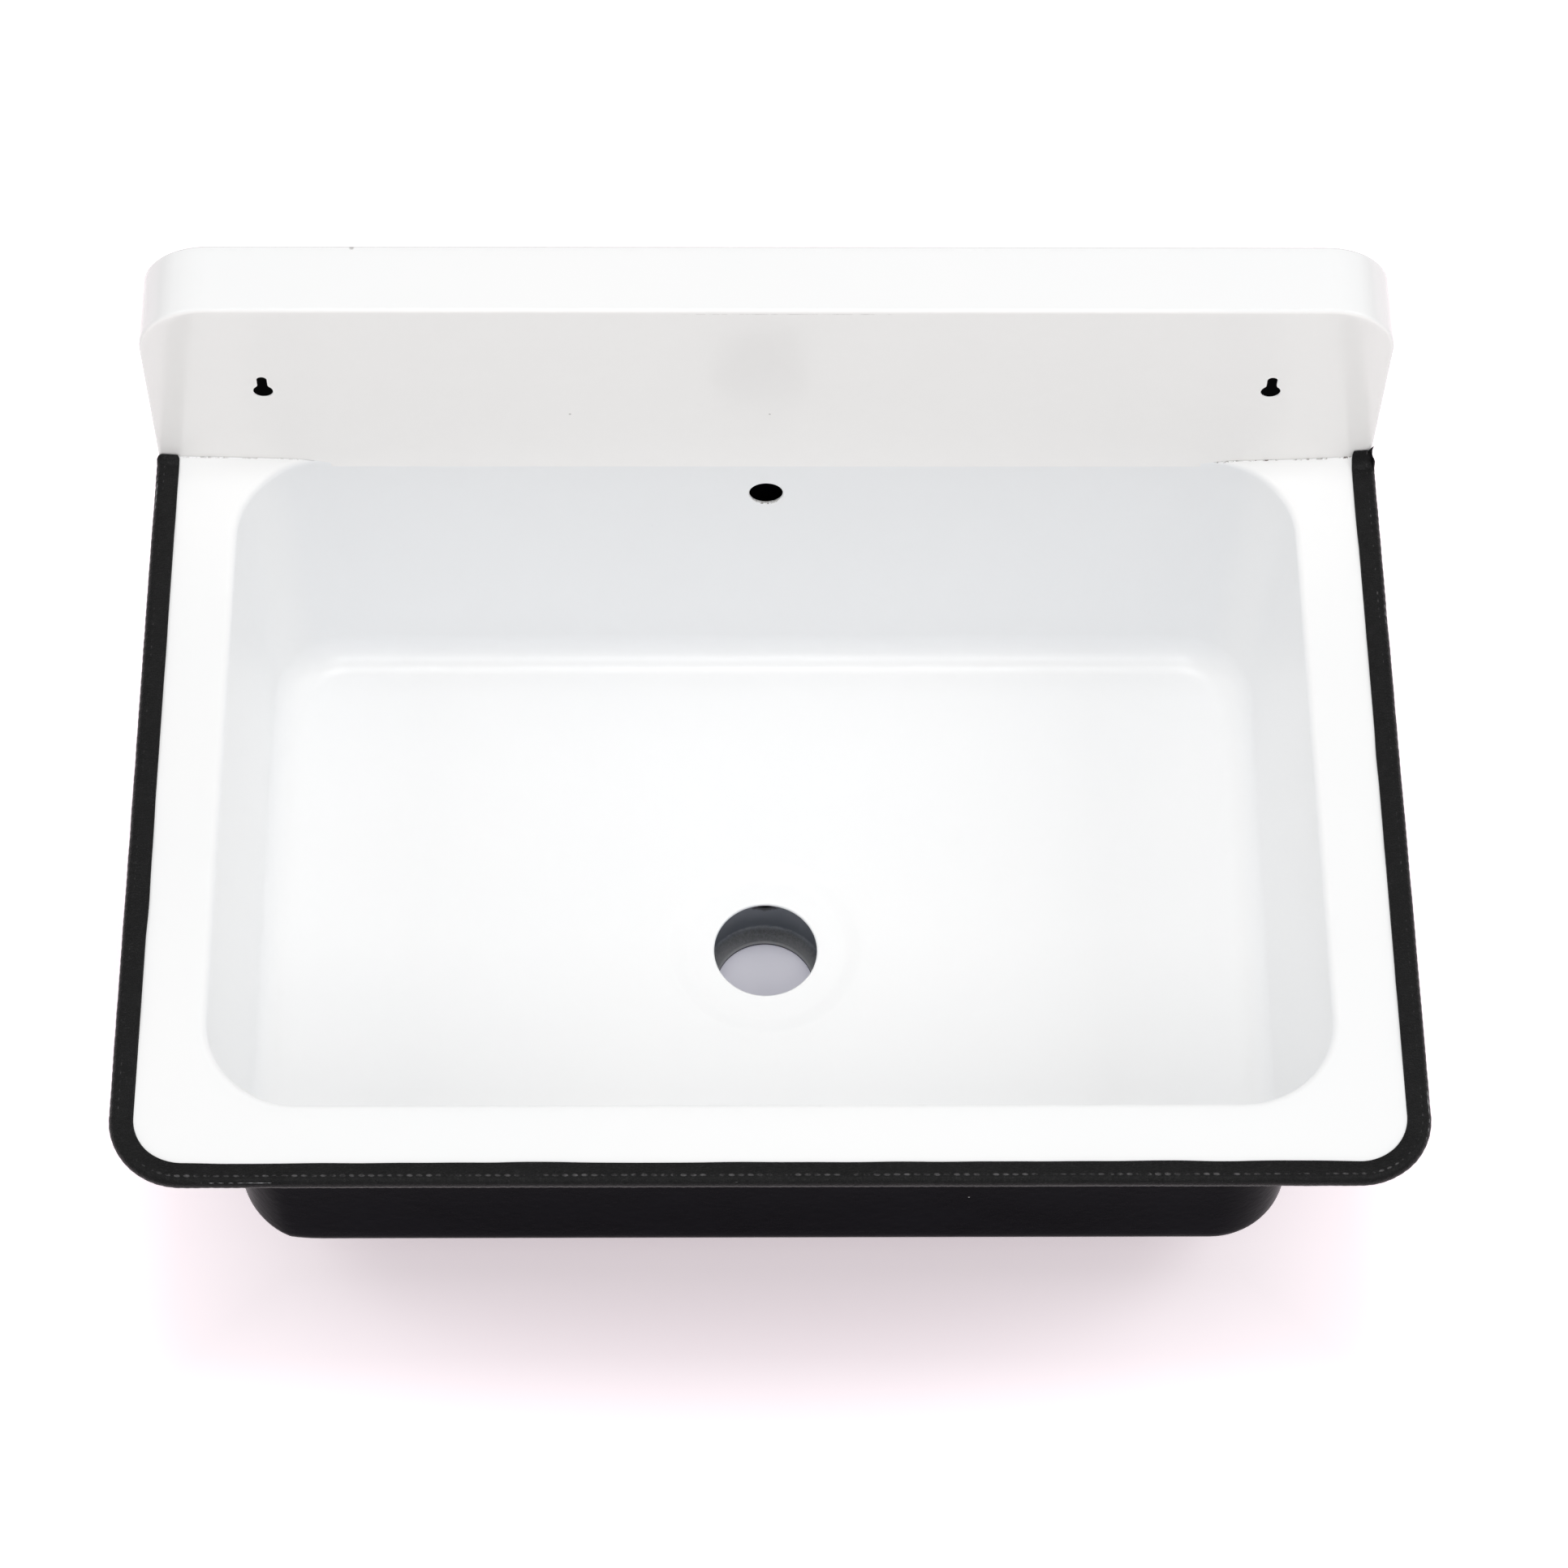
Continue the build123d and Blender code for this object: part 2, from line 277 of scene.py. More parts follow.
def uneven(points, seed, cell, strength):
    # a smooth height over the object: a few waves in fixed random directions, about one cell long
    dice = np.random.default_rng(seed)
    waveCount = 7
    directions = unit(dice.normal(size=(waveCount, 3)))
    lengths = cell * dice.uniform(0.7, 1.6, waveCount)
    phases = dice.uniform(0, 2 * np.pi, waveCount)
    waves = np.sin(points @ (directions / lengths[:, None]).T * 2 * np.pi + phases)
    return waves.mean(axis=1) * strength


# Materials

def fill(socket, value):
    # a link where the value is another node's output, and a constant otherwise
    if isinstance(value, bpy.types.NodeSocket):
        socket.id_data.links.new(value, socket)
    else:
        socket.default_value = value


def nodeMaker(tree):
    # a function that adds a node to this tree, with its inputs by name, or by number as n0, n1 and so on
    def node(kind, settings=None, **inputs):
        made = tree.nodes.new(kind)
        for key, value in (settings or {}).items():
            setattr(made, key, value)
        for key, value in inputs.items():
            fill(made.inputs[int(key[1:]) if key[1:].isdigit() else key], value)
        return made

    return node


def nodeKit(name):
    # a new material, its object coordinates, and a function that adds nodes to it
    material = bpy.data.materials.new(name)
    material.use_nodes = True
    node = nodeMaker(material.node_tree)
    return material, node("ShaderNodeTexCoord").outputs["Object"], node


def noiseOf(node, place, scale, detail=2.0, roughness=0.5):
    noise = node("ShaderNodeTexNoise", Vector=place, Scale=scale, Detail=detail, Roughness=roughness)
    return noise.outputs["Fac"]


def math2(node, operation, a, b=0.0, third=0.0):
    return node("ShaderNodeMath", {"operation": operation}, n0=a, n1=b, n2=third).outputs[0]


def scaled(node, value, factor, plus):
    return math2(node, "MULTIPLY_ADD", value, factor, plus)


def axesOf(node, vector):
    return node("ShaderNodeSeparateXYZ", n0=vector).outputs


def times(node, first, *others):
    for other in others:
        first = math2(node, "MULTIPLY", first, other)
    return first


def bandOf(node, value, low, high):
    # 0 at low and 1 at high, straight between the two, whichever of them is the larger
    return node("ShaderNodeMapRange", {"clamp": True}, n0=value, n1=low, n2=high, n3=0.0, n4=1.0).outputs[0]


def patchesOf(node, place, pattern):
    # noise of a scale, detail and roughness, cut to a band
    *look, low, high = pattern
    return bandOf(node, noiseOf(node, place, *look), low, high)


def dotsOf(node, place, pattern):
    # dots at the middles of a few cells: their scale, where the few begin, and a dot's inner and outer reach
    scale, few, inner, outer = pattern
    cells = node("ShaderNodeTexVoronoi", Vector=place, Scale=scale)
    chance = node("ShaderNodeSeparateColor", n0=cells.outputs["Color"]).outputs[0]
    dots = bandOf(node, cells.outputs["Distance"], outer, inner)
    return times(node, bandOf(node, chance, few, few + 0.001), dots)


def distanceTo(node, place, spot):
    return node("ShaderNodeVectorMath", {"operation": "DISTANCE"}, n0=place, n1=spot).outputs["Value"]


def mixColour(node, share, first, second):
    return node("ShaderNodeMix", {"data_type": "RGBA"}, n0=share, n6=first, n7=second).outputs[2]


def layered(node, colour, *coats):
    # coats over a first colour, each a share and a colour
    for share, coat in coats:
        colour = mixColour(node, share, colour, coat)
    return colour


def coated(material, node, colour, roughness, relief, constants):
    # relief is a height, a strength and a distance; the constants are values of the shader's own sockets
    shader = material.node_tree.nodes["Principled BSDF"]
    fill(shader.inputs["Base Color"], colour)
    fill(shader.inputs["Roughness"], roughness)
    if relief:
        height, strength, distance = relief
        bump = node("ShaderNodeBump", Height=height, Strength=strength, Distance=distance)
        fill(shader.inputs["Normal"], bump.outputs["Normal"])
    for name, value in constants.items():
        shader.inputs[name].default_value = value
    return material


# Patterns of noise are (scale, detail, roughness, start of band, end of band).
whiteSettings = {
    "colour": (0.955, 0.955, 0.953, 1),
    "cloudColour": (0.945, 0.948, 0.948, 1),
    "clouds": (9.0, 3.0, 0.5, 0.35, 0.7),
    "frontward": (-0.4, -0.9),                  # the normal's y where the painted shade of the back wall or the painted light of the face sets in
    "wallColour": (0.925, 0.935, 0.95, 1),      # painted shade: the back wall of the bowl darker and cooler, where it faces the front
    "faceLightColour": (0.995, 0.98, 0.968, 1),      # painted light: the face of the splashback lighter and warmer
    "sideward": (0.45, 0.9),                    # the size of the normal's x, where the painted light of the bowl's sides and the painted shade of the panel's side bends set in
    "paintedSideTone": (0.98, 0.985, 0.992, 1),      # painted light: the side walls of the bowl lighter
    "sideBendShadeColour": (0.84, 0.83, 0.83, 1),        # painted shade: the side bends of the splashback darker
    "cutColour": (0.76, 0.76, 0.76, 1),         # the returns' last millimetre at the wall
    "cutReach": (1.1 * mm, 0.5 * mm),
    "chipColour": (0.16, 0.13, 0.12, 1),
    "pinholes": (42.0, 0.93, 0.012, 0.02),
    "rimNormal": (0.5, 0.6),                    # the seam is drawn on what faces up, at the rim's level
    "rimLevel": (-40 * mm, -45 * mm),
    "hairline": (0.32 * mm, 0.2 * mm),
    "hairlineShare": 0.35,
    "chipReach": (0.9 * mm, 0.5 * mm),
    "ragged": (520.0, 4.0, 0.7, 0.5, 0.55),
    "patchy": (60.0, 2.0, 0.5, 0.42, 0.52),
    "chipsAcross": (-0.6, 0.1),                 # more of them to the right
    "scuffDrop": (2.3 * mm, 1.9 * mm),          # below the top
    "scuffEnds": (-36 * mm, 52 * mm),
    "scuffSoft": 0.15 * mm,
    "scuffFade": 4 * mm,
    "scuffBreaks": (210.0, 3.0, 0.6, 0.4, 0.6),
    "scuffShare": 0.45,
    "nicks": (                                  # middle and reach
        ((-0.083, 0.0, -0.017), 0.7 * mm),
        ((0.001, 0.0, -0.017), 0.6 * mm),
        ((-0.171, 0.032, 0.056), 1.2 * mm),
        ((0.2565, -0.001, -0.036), 0.8 * mm),
        ((-0.0495, -0.002, -0.1), 0.8 * mm),
    ),
    "nickShare": 0.5,
    "smears": (14.0, 4.0, 0.6, 0.4, 0.75),
    "smearRoughness": 0.05,
    "markRoughness": 0.5,
    "bowlGloss": 0.285,
    "panelGloss": 0.13,
    "rippleScale": 55.0,
    "rippleBump": (0.35, 0.6 * mm),
    "constants": {"IOR": 1.5},
}


def whiteEnamel(name, paintedFrontTone, paintedSideTone, gloss):
    s = SimpleNamespace(**whiteSettings)
    material, place, node = nodeKit(name)
    xyz, normal = axesOf(node, place), axesOf(node, node("ShaderNodeNewGeometry").outputs["Normal"])
    cut = (splashHigh.y - reach for reach in s.cutReach)
    # painted light on the face and on the bowl's side walls, and painted shade on the bowl's back wall and
    # the panel's side bends, by which way each surface faces
    base = layered(
        node, s.colour,
        (patchesOf(node, place, s.clouds), s.cloudColour),
        (bandOf(node, normal[1], *s.frontward), paintedFrontTone),
        (bandOf(node, math2(node, "ABSOLUTE", normal[0]), *s.sideward), paintedSideTone),
        (bandOf(node, xyz[1], *cut), s.cutColour),
    )

    # the seam of rim and splashback: a grey hairline all along, and ragged chips
    onRim = times(node, bandOf(node, normal[2], *s.rimNormal), bandOf(node, xyz[2], *s.rimLevel))
    toFace = math2(node, "ABSOLUTE", xyz[1])
    hairline = times(node, onRim, bandOf(node, toFace, *s.hairline), s.hairlineShare)
    chips = times(
        node, onRim, bandOf(node, toFace, *s.chipReach), patchesOf(node, place, s.ragged),
        patchesOf(node, place, s.patchy), bandOf(node, xyz[0], *s.chipsAcross),
    )

    # a broken hairline under the splashback's top bend
    soft, fade = s.scuffSoft, s.scuffFade
    low, high = (splashHigh.z - drop for drop in s.scuffDrop)
    left, right = s.scuffEnds
    scuff = times(
        node, bandOf(node, xyz[2], low, low + soft), bandOf(node, xyz[2], high, high - soft),
        bandOf(node, xyz[0], left, left + fade), bandOf(node, xyz[0], right, right - fade),
        patchesOf(node, place, s.scuffBreaks), s.scuffShare,
    )
    nicks = [
        times(node, bandOf(node, distanceTo(node, place, spot), reach, reach / 2), s.nickShare)
        for spot, reach in s.nicks
    ]
    marks = dotsOf(node, place, s.pinholes)
    for mark in (chips, hairline, scuff, *nicks):
        marks = math2(node, "MAXIMUM", marks, mark)
    roughness = scaled(node, patchesOf(node, place, s.smears), s.smearRoughness, gloss)
    roughness = scaled(node, marks, s.markRoughness, roughness)
    relief = (noiseOf(node, place, s.rippleScale), *s.rippleBump)
    colour = mixColour(node, marks, base, s.chipColour)
    return coated(material, node, colour, roughness, relief, s.constants)


darkSettings = {
    "colour": (0.0028, 0.0026, 0.0042, 1),
    "paler": (0.0046, 0.0044, 0.0068, 1),
    "mottle": (26.0, 4.0, 0.6, 0.35, 0.7),
    "speckColour": (0.5, 0.5, 0.5, 1),
    "specks": (60.0, 0.86, 0.018, 0.026),
    "roughness": 0.16,
    "unevenRoughness": 0.12,
    "unevenNoise": (70.0, 3.0),
    "peelNoise": (240.0, 3.0),
    "peelBump": (0.25, 0.5 * mm),
    "constants": {"Specular IOR Level": 0.005},
}


def darkEnamel():
    s = SimpleNamespace(**darkSettings)
    material, place, node = nodeKit("dark_enamel")
    mottle, specks = patchesOf(node, place, s.mottle), dotsOf(node, place, s.specks)
    colour = layered(node, s.colour, (mottle, s.paler), (specks, s.speckColour))
    roughness = scaled(node, noiseOf(node, place, *s.unevenNoise), s.unevenRoughness, s.roughness)
    relief = (noiseOf(node, place, *s.peelNoise), *s.peelBump)
    return coated(material, node, colour, roughness, relief, s.constants)


# Levels are above the chamber's bottom, and bands are pairs of them.
chamberCoatSettings = {
    "smoothCoat": ((0.15, 0.165, 0.195, 1), (0.19, 0.208, 0.24, 1)),
    "mottle": (50.0, 3.0, 0.5, 0.3, 0.7),
    "roughCoat": ((0.085, 0.09, 0.1, 1), (0.17, 0.175, 0.19, 1)),
    "grit": (900.0, 3.0, 0.7, 0.35, 0.65),
    "coatsMeet": (5.8 * mm, 4.9 * mm),
    "wobbleNoise": (160.0, 2.0),
    "wobble": 1.2 * mm,
    "paleColour": (0.34, 0.345, 0.355, 1),      # painted light on the rough coat, lighter towards the lip and more so at the sides, where light comes in through the drain hole
    "paleLevels": (5.3 * mm, 2.4 * mm),
    "paleAcross": (4 * mm, 21 * mm),
    "paleShare": (0.55, 0.25),
    # painted highlight: a pale line along the lip's rounded edge
    "lipColour": (0.4, 0.4, 0.42, 1),
    "lipLevels": ((1.35 * mm, 1.65 * mm), (2.25 * mm, 1.95 * mm)),
    # painted shade: near black on the outlet's short inner face below the lip
    "underColour": (0.02, 0.02, 0.024, 1),
    "underLevels": (1.55 * mm, 1.25 * mm),
    # painted highlight: a broken pale line at the ledge's bend
    "ledgeColour": (0.42, 0.43, 0.45, 1),
    "ledgeLevels": ((4.7 * mm, 5.3 * mm), (6.3 * mm, 5.6 * mm)),
    "ledgeShare": 0.35,
    "inletColour": (0.006, 0.006, 0.007, 1),
    "inletDrop": (2 * mm, 7.3 * mm),            # its middle, in from the far wall and down from the top
    "inletReach": (8.2 * mm, 6.6 * mm),
    "tornNoise": (700.0, 4.0, 0.7),
    "torn": (5 * mm, -2.5 * mm),
    "roughness": (0.35, 0.3),                   # what the rough coat adds, and the smooth coat's own
    "gritBump": (0.5, 0.3 * mm),
}


def chamberEnamel():
    # the smooth dark coat of the wall, and below the ledge a rougher, greyer one; over them painted
    # highlights on the ledge's bend and the lip, painted light towards the lip and painted shade below it
    s = SimpleNamespace(**chamberCoatSettings)
    material, place, node = nodeKit("chamber_enamel")
    xyz = axesOf(node, place)
    level = math2(node, "SUBTRACT", xyz[2], chamberLow.z)

    def line(levels):
        # 1 in a thin level line, given by the band where it starts and the band where it ends
        return times(node, bandOf(node, level, *levels[0]), bandOf(node, level, *levels[1]))

    wavy = scaled(node, noiseOf(node, place, *s.wobbleNoise), s.wobble, level)
    lower = bandOf(node, wavy, *s.coatsMeet)
    grit = patchesOf(node, place, s.grit)
    # painted light on the rough coat towards the lip and the sides
    sideways = bandOf(node, math2(node, "ABSOLUTE", xyz[0]), *s.paleAcross)
    paler = times(node, bandOf(node, level, *s.paleLevels), scaled(node, sideways, *s.paleShare))
    smoothCoat = mixColour(node, patchesOf(node, place, s.mottle), *s.smoothCoat)
    roughCoat = layered(node, s.roughCoat[0], (grit, s.roughCoat[1]), (paler, s.paleColour))
    middle = (0, chamberHigh.y - s.inletDrop[0], chamberHigh.z - s.inletDrop[1])
    torn = scaled(node, noiseOf(node, place, *s.tornNoise), *s.torn)
    toInlet = math2(node, "ADD", distanceTo(node, place, middle), torn)
    # over the two coats: painted highlights on the lip and the ledge, and painted shade below the lip
    colour = layered(
        node, smoothCoat,
        (lower, roughCoat),
        (line(s.lipLevels), s.lipColour),
        (bandOf(node, level, *s.underLevels), s.underColour),
        (times(node, line(s.ledgeLevels), grit, s.ledgeShare), s.ledgeColour),
        (bandOf(node, toInlet, *s.inletReach), s.inletColour),
    )
    roughness = scaled(node, lower, *s.roughness)
    return coated(material, node, colour, roughness, (times(node, grit, lower), *s.gritBump), {})


vinylSettings = {
    "colour": (0.0014, 0.0014, 0.0016, 1),
    "wornColour": (0.0036, 0.0035, 0.0038, 1),
    "worn": (120.0, 4.0, 0.65, 0.42, 0.72),
    # painted glints: pale dashes on the core's ribs along the crest of the trim
    "rubbedColour": (0.095, 0.092, 0.094, 1),
    "ribBand": (0.05, 0.5),
    "pressed": (260.0, 3.0, 0.65, 0.38, 0.64),
    "roughness": 0.3,
    "unevenRoughness": 0.16,
    "unevenScale": 500.0,
    "bendScale": 700.0,             # the grain's cells are bent by a noise of this scale, by this much
    "bendBy": (0.9 * mm, 0.9 * mm, 0.9 * mm),
    "cellScale": 950.0,
    "cellBand": (0.0, 0.22),
    "wrinkleScale": 1900.0,
    "wrinkleShare": 0.5,
    "grainBump": (0.75, 0.11 * mm),
    "constants": {"Specular IOR Level": 0.2},
}


def trimVinyl():
    s = SimpleNamespace(**vinylSettings)
    material, place, node = nodeKit("trim_vinyl")
    # painted glints: pale dashes on the core's ribs along the crest, some stronger than others
    rib = node("ShaderNodeAttribute", {"attribute_name": "rib"}).outputs["Fac"]
    marks = times(node, bandOf(node, rib, *s.ribBand), patchesOf(node, place, s.pressed))
    worn = patchesOf(node, place, s.worn)
    colour = layered(node, s.colour, (worn, s.wornColour), (marks, s.rubbedColour))
    roughness = scaled(node, noiseOf(node, place, s.unevenScale), s.unevenRoughness, s.roughness)
    # leather grain: flat-topped cells with narrow valleys, over finer wrinkles
    stir = node("ShaderNodeTexNoise", Vector=place, Scale=s.bendScale, Detail=2.0).outputs["Color"]
    bent = node("ShaderNodeVectorMath", {"operation": "MULTIPLY_ADD"}, n0=stir, n1=s.bendBy, n2=place)
    edges = {"feature": "DISTANCE_TO_EDGE"}
    cells = node("ShaderNodeTexVoronoi", edges, Vector=bent.outputs[0], Scale=s.cellScale)
    flats = bandOf(node, cells.outputs["Distance"], *s.cellBand)
    grain = scaled(node, noiseOf(node, place, s.wrinkleScale), s.wrinkleShare, flats)
    return coated(material, node, colour, roughness, (grain, *s.grainBump), s.constants)


steelSettings = {
    "colours": ((0.42, 0.43, 0.44, 1), (0.62, 0.63, 0.65, 1)),
    "brushNoise": (800.0, 4.0, 0.7),
    "roughness": (0.25, 0.22),      # what the brushing adds at most, and the least there is
    "constants": {"Metallic": 1.0},
}


def clipSteel():
    s = SimpleNamespace(**steelSettings)
    material, place, node = nodeKit("clip_steel")
    brushed = noiseOf(node, place, *s.brushNoise)
    roughness = scaled(node, brushed, *s.roughness)
    return coated(material, node, mixColour(node, brushed, *s.colours), roughness, None, s.constants)


white = whiteSettings
bowlWhite = whiteEnamel("white_enamel", white["wallColour"], white["paintedSideTone"], white["bowlGloss"])
panelWhite = whiteEnamel("white_enamel_panel", white["faceLightColour"], white["sideBendShadeColour"], white["panelGloss"])
dark, chamberCoat, vinyl, steel = darkEnamel(), chamberEnamel(), trimVinyl(), clipSteel()
print("materials made")


# Basin

basinSettings = {
    "cornerRadius": 38 * mm,
    "openingHalf": 224 * mm,
    "openingFront": -306 * mm,
    "lipRadius": 3 * mm,
    "lipRise": 3 * mm,         # upright part of the lip below its bend
    "draft": math.radians(2),
    "draftStart": 14 * mm,     # height over which the wall goes from upright to its full draft
    "floorRadius": 15 * mm,
    "recessRadius": 42 * mm,
    "seatRadius": 35 * mm,
    "recessDepth": 2.5 * mm,
    "drainRadius": 22.5 * mm,
    "overflowRadius": 7.2 * mm,
    "overflowBelowRim": 26.5 * mm,
    "frontPull": 2.3 * mm,     # how far the front leans in beyond the draft, with its right corner
    "cornerPull": 3.0 * mm,
    "pullDepth": 100 * mm,
    "curlLeft": ((196, 206, 223, 240, 250), (-0.4, 0.2, 1.0, 1.7, 1.9)),     # mm across, mm up
    "curlRight": ((198, 212, 230, 242, 250), (-1.4, -0.9, 0.1, 1.1, 2.0)),
    "curlReach": 8 * mm,       # from the face forward
    "overflowBlock": 14 * mm,  # half the side of the square of grid that the overflow hole takes
    "overflowCells": 16,
    "rowsAbove": 3,            # rows of cells above that square, and columns of points on either side of it
    "columnsBeside": 13,
    "patchRings": 7,
    "arcSteps": 18,
    "sideSteps": 22,
    "frontSteps": 34,
    "floorRings": 14,
    "rimRings": 8,
    "dipSoftness": 0.13,
}


def wallProfile(b):
    # The bowl's wall and floor bend, seen from the side, as offset outwards from the opening and height:
    # an arc that straightens into the draft line, that line, and the bend tangent to it and to the floor.
    lean, start = math.tan(b.draft), b.draftStart
    floor = basinLow.z + rim.sheet + b.recessDepth
    holeLevel = rim.top - b.overflowBelowRim
    block, rowsAbove = b.overflowBlock, b.rowsAbove
    bendTop = floor + b.floorRadius * (1 - math.sin(b.draft))
    levels = np.concatenate([
        np.linspace(rim.joint, holeLevel + block, rowsAbove + 1)[:-1],
        np.linspace(holeLevel + block, holeLevel - block, b.overflowCells + 1)[:-1],
        np.linspace(holeLevel - block, bendTop, 18),
    ])
    fallen = rim.joint - levels
    offset = -lean * np.where(fallen < start, fallen ** 2 / (2 * start), fallen - start / 2)
    centreOffset = offset[-1] - b.floorRadius * math.cos(b.draft)
    turn = np.linspace(-b.draft, -np.pi / 2, 13)[1:]
    bendOffset = centreOffset + b.floorRadius * np.cos(turn)
    bendLevel = floor + b.floorRadius * (1 + np.sin(turn))
    return np.concatenate([offset, bendOffset]), np.concatenate([levels, bendLevel]), floor


def leanIn(b, spots, aim, backY, frontY):
    # how much further in each station goes at depth: all of the front, with a soft corner at its left end,
    # and the right corner, fading out along the right side
    forward = clamp(-aim[:, 1])
    nearFront = clamp((backY - spots[:, 1]) / (backY - frontY))
    left = b.frontPull * clamp((forward - 0.9) / 0.1)
    right = nearFront * (b.cornerPull + (b.frontPull - b.cornerPull) * forward)
    return np.where(aim[:, 0] > 1e-6, right, left)


def curlOf(b, points):
    # how much the rim rises where its back corners meet the splashback
    acrossMm = np.abs(points[..., 0]) / mm
    left, right = (np.interp(acrossMm, *curl) for curl in (b.curlLeft, b.curlRight))
    rise = np.where(points[..., 0] < 0, left, right)
    near = clamp(1 + (points[..., 1] - rim.faceY) / b.curlReach)
    onTop = clamp((points[..., 2] - rim.joint) / (rim.top - rim.joint))
    return rise * mm * near ** 2 * onTop


def basinPiece():
    b = SimpleNamespace(**basinSettings)
    radius = b.cornerRadius
    halfX = b.openingHalf - radius
    frontY = b.openingFront + radius
    backY = rim.faceY - radius
    block, cells = b.overflowBlock, b.overflowCells
    beside, rowsAbove = b.columnsBeside, b.rowsAbove
    backXs = np.concatenate([
        np.linspace(-halfX, -block, beside + 2)[1:-1],
        np.linspace(-block, block, cells + 1),
        np.linspace(block, halfX, beside + 2)[1:-1],
    ])
    steps = b.arcSteps, b.sideSteps, b.frontSteps
    spots, angles, kinds = roundedStations(halfX, backY, frontY, *steps, backXs)
    openCount = int((kinds != 3).sum())
    offsets, levels, floor = wallProfile(b)

    # walls and floor bend: closed rings, each the opening's outline moved in by the profile's offset
    aim = joined(np.cos(angles), np.sin(angles))
    pull = leanIn(b, spots, aim, backY, frontY)
    deep = clamp((rim.joint - levels) / b.pullDepth)
    deep = deep ** 2 * (3 - 2 * deep)
    reach = (radius + offsets)[:, None] - deep[:, None] * pull[None]
    rings = spots[None] + reach[..., None] * aim[None]
    lower = atLevels(rings, levels)

    # floor: from the last ring straight to a circle round the drain, then rings down into the recess
    drain = np.array([0, (chamberLow.y + chamberHigh.y) / 2])
    toward = unit(rings[-1] - drain)
    outerCircle = drain + toward * (b.recessRadius + 3 * mm)
    floorRings = between(rings[-1], outerCircle, b.floorRings)
    radii = np.concatenate([
        np.linspace(b.recessRadius + 2 * mm, b.seatRadius - 2 * mm, 20),
        np.linspace(b.seatRadius - 4 * mm, b.drainRadius + rim.sheet / 2, 6),
    ])
    dip = softRamp((b.recessRadius - radii) / (b.recessRadius - b.seatRadius), b.dipSoftness)
    recess = drain[None, None] + radii[:, None, None] * toward[None]
    recess = atLevels(recess, floor - b.recessDepth * dip)
    closed = np.concatenate([lower, atLevels(floorRings, floor), recess])
    rowCount, stationCount = closed.shape[:2]
    points = closed.reshape(-1, 3)
    quads = gridQuads(rowCount, stationCount, wrap=True)[:, ::-1]

    # lip and rim: open rings that end on the face of the splashback
    turn = np.linspace(0, np.pi / 2, 10)
    lipOffsets = np.concatenate([[0], b.lipRadius * (1 - np.cos(turn))])
    lipLevels = rim.joint + np.concatenate([
        [b.lipRise / 2], b.lipRise + b.lipRadius * np.sin(turn),
    ])
    meets = np.arcsin(radius / (radius + lipOffsets))[:, None] / (np.pi / 2)
    openAngles = np.broadcast_to(angles[:openCount], (len(lipOffsets), openCount))
    kind = kinds[:openCount]
    openAngles = np.where(kind == 1, openAngles * meets, openAngles)
    openAngles = np.where(kind == 2, (openAngles + np.pi) * meets - np.pi, openAngles)
    openAim = joined(np.cos(openAngles), np.sin(openAngles))
    lipRings = spots[None, :openCount] + (radius + lipOffsets)[:, None, None] * openAim
    edgeRadius = rim.cornerRadius - rim.sheet / 2
    rimCentreX = rim.halfWidth - rim.cornerRadius
    rimCentreY = rim.front + rim.cornerRadius
    stretch = np.array([rimCentreX / halfX, rimCentreY / frontY])
    outerRim = spots[:openCount] * stretch + edgeRadius * aim[:openCount]
    atBack = kind > 0
    outerRim[atBack, 0] = np.sign(spots[:openCount][atBack, 0]) * (rimCentreX + edgeRadius)
    outerRim[atBack, 1] = lipRings[-1][atBack, 1] * stretch[1]
    flat = atLevels(between(lipRings[-1], outerRim, b.rimRings), rim.top)
    upper = np.concatenate([atLevels(lipRings, lipLevels), flat])
    upper[..., 2] += curlOf(b, upper)
    upperStart = len(points)
    points = np.vstack([points, upper.reshape(-1, 3)])
    firstRow = joined(
        np.arange(openCount - 1), np.arange(1, openCount),
        upperStart + np.arange(1, openCount), upperStart + np.arange(openCount - 1),
    )
    upperQuads = gridQuads(len(upper), openCount, start=upperStart)
    quads = np.vstack([quads, firstRow, upperQuads])

    # overflow hole in the back wall, in place of a block of cells
    firstColumn = openCount + beside
    numbers = blockRim(rowsAbove, rowsAbove + cells, firstColumn, firstColumn + cells, stationCount)
    centre = np.array([0, rim.top - b.overflowBelowRim])
    seen = unit(points[numbers][:, [0, 2]] - centre)
    rowIndex, columnIndex = np.divmod(np.arange(rowCount * stationCount), stationCount)
    inRows = (rowIndex >= rowsAbove) & (rowIndex < rowsAbove + cells)
    inColumns = (columnIndex >= firstColumn) & (columnIndex < firstColumn + cells)
    keep = np.ones(len(quads), bool)
    gridCells = (rowCount - 1) * stationCount
    keep[:gridCells] = ~(inRows & inColumns)[:gridCells]
    quads = quads[keep]
    outline = centre + seen * (b.overflowRadius + rim.sheet / 2)
    wallY = np.interp(outline[:, 1], levels[::-1], (rim.faceY + offsets)[::-1])
    hole = np.stack([outline[:, 0], wallY, outline[:, 1]], -1)
    points, quads, holeRim = holePatch(points, quads, numbers, hole, b.patchRings)
    patch = points[-b.patchRings * len(hole):]
    patch[:, 1] = np.interp(patch[:, 2], levels[::-1], (rim.faceY + offsets)[::-1])

    # edges that are rounded: the drain hole, the overflow hole and the rim's outer edge
    isRound = np.zeros(len(points))
    isRound[(rowCount - 1) * stationCount:rowCount * stationCount] = 1
    isRound[holeRim] = 1
    isRound[upperStart + (len(upper) - 1) * openCount:upperStart + len(upper) * openCount] = 1
    points, quads, renumber = dropUnused(points, quads)
    roundness = np.zeros(len(points))
    roundness[renumber[renumber >= 0]] = isRound[renumber >= 0]
    points, quads, slots = thicken(points, quads, rim.sheet, roundness)
    piece = makeMesh("basin_shell", points, quads, [bowlWhite, dark], slots)
    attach(piece, "root")
    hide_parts("basin")


basinPiece()
print("basin made")


# Splashback

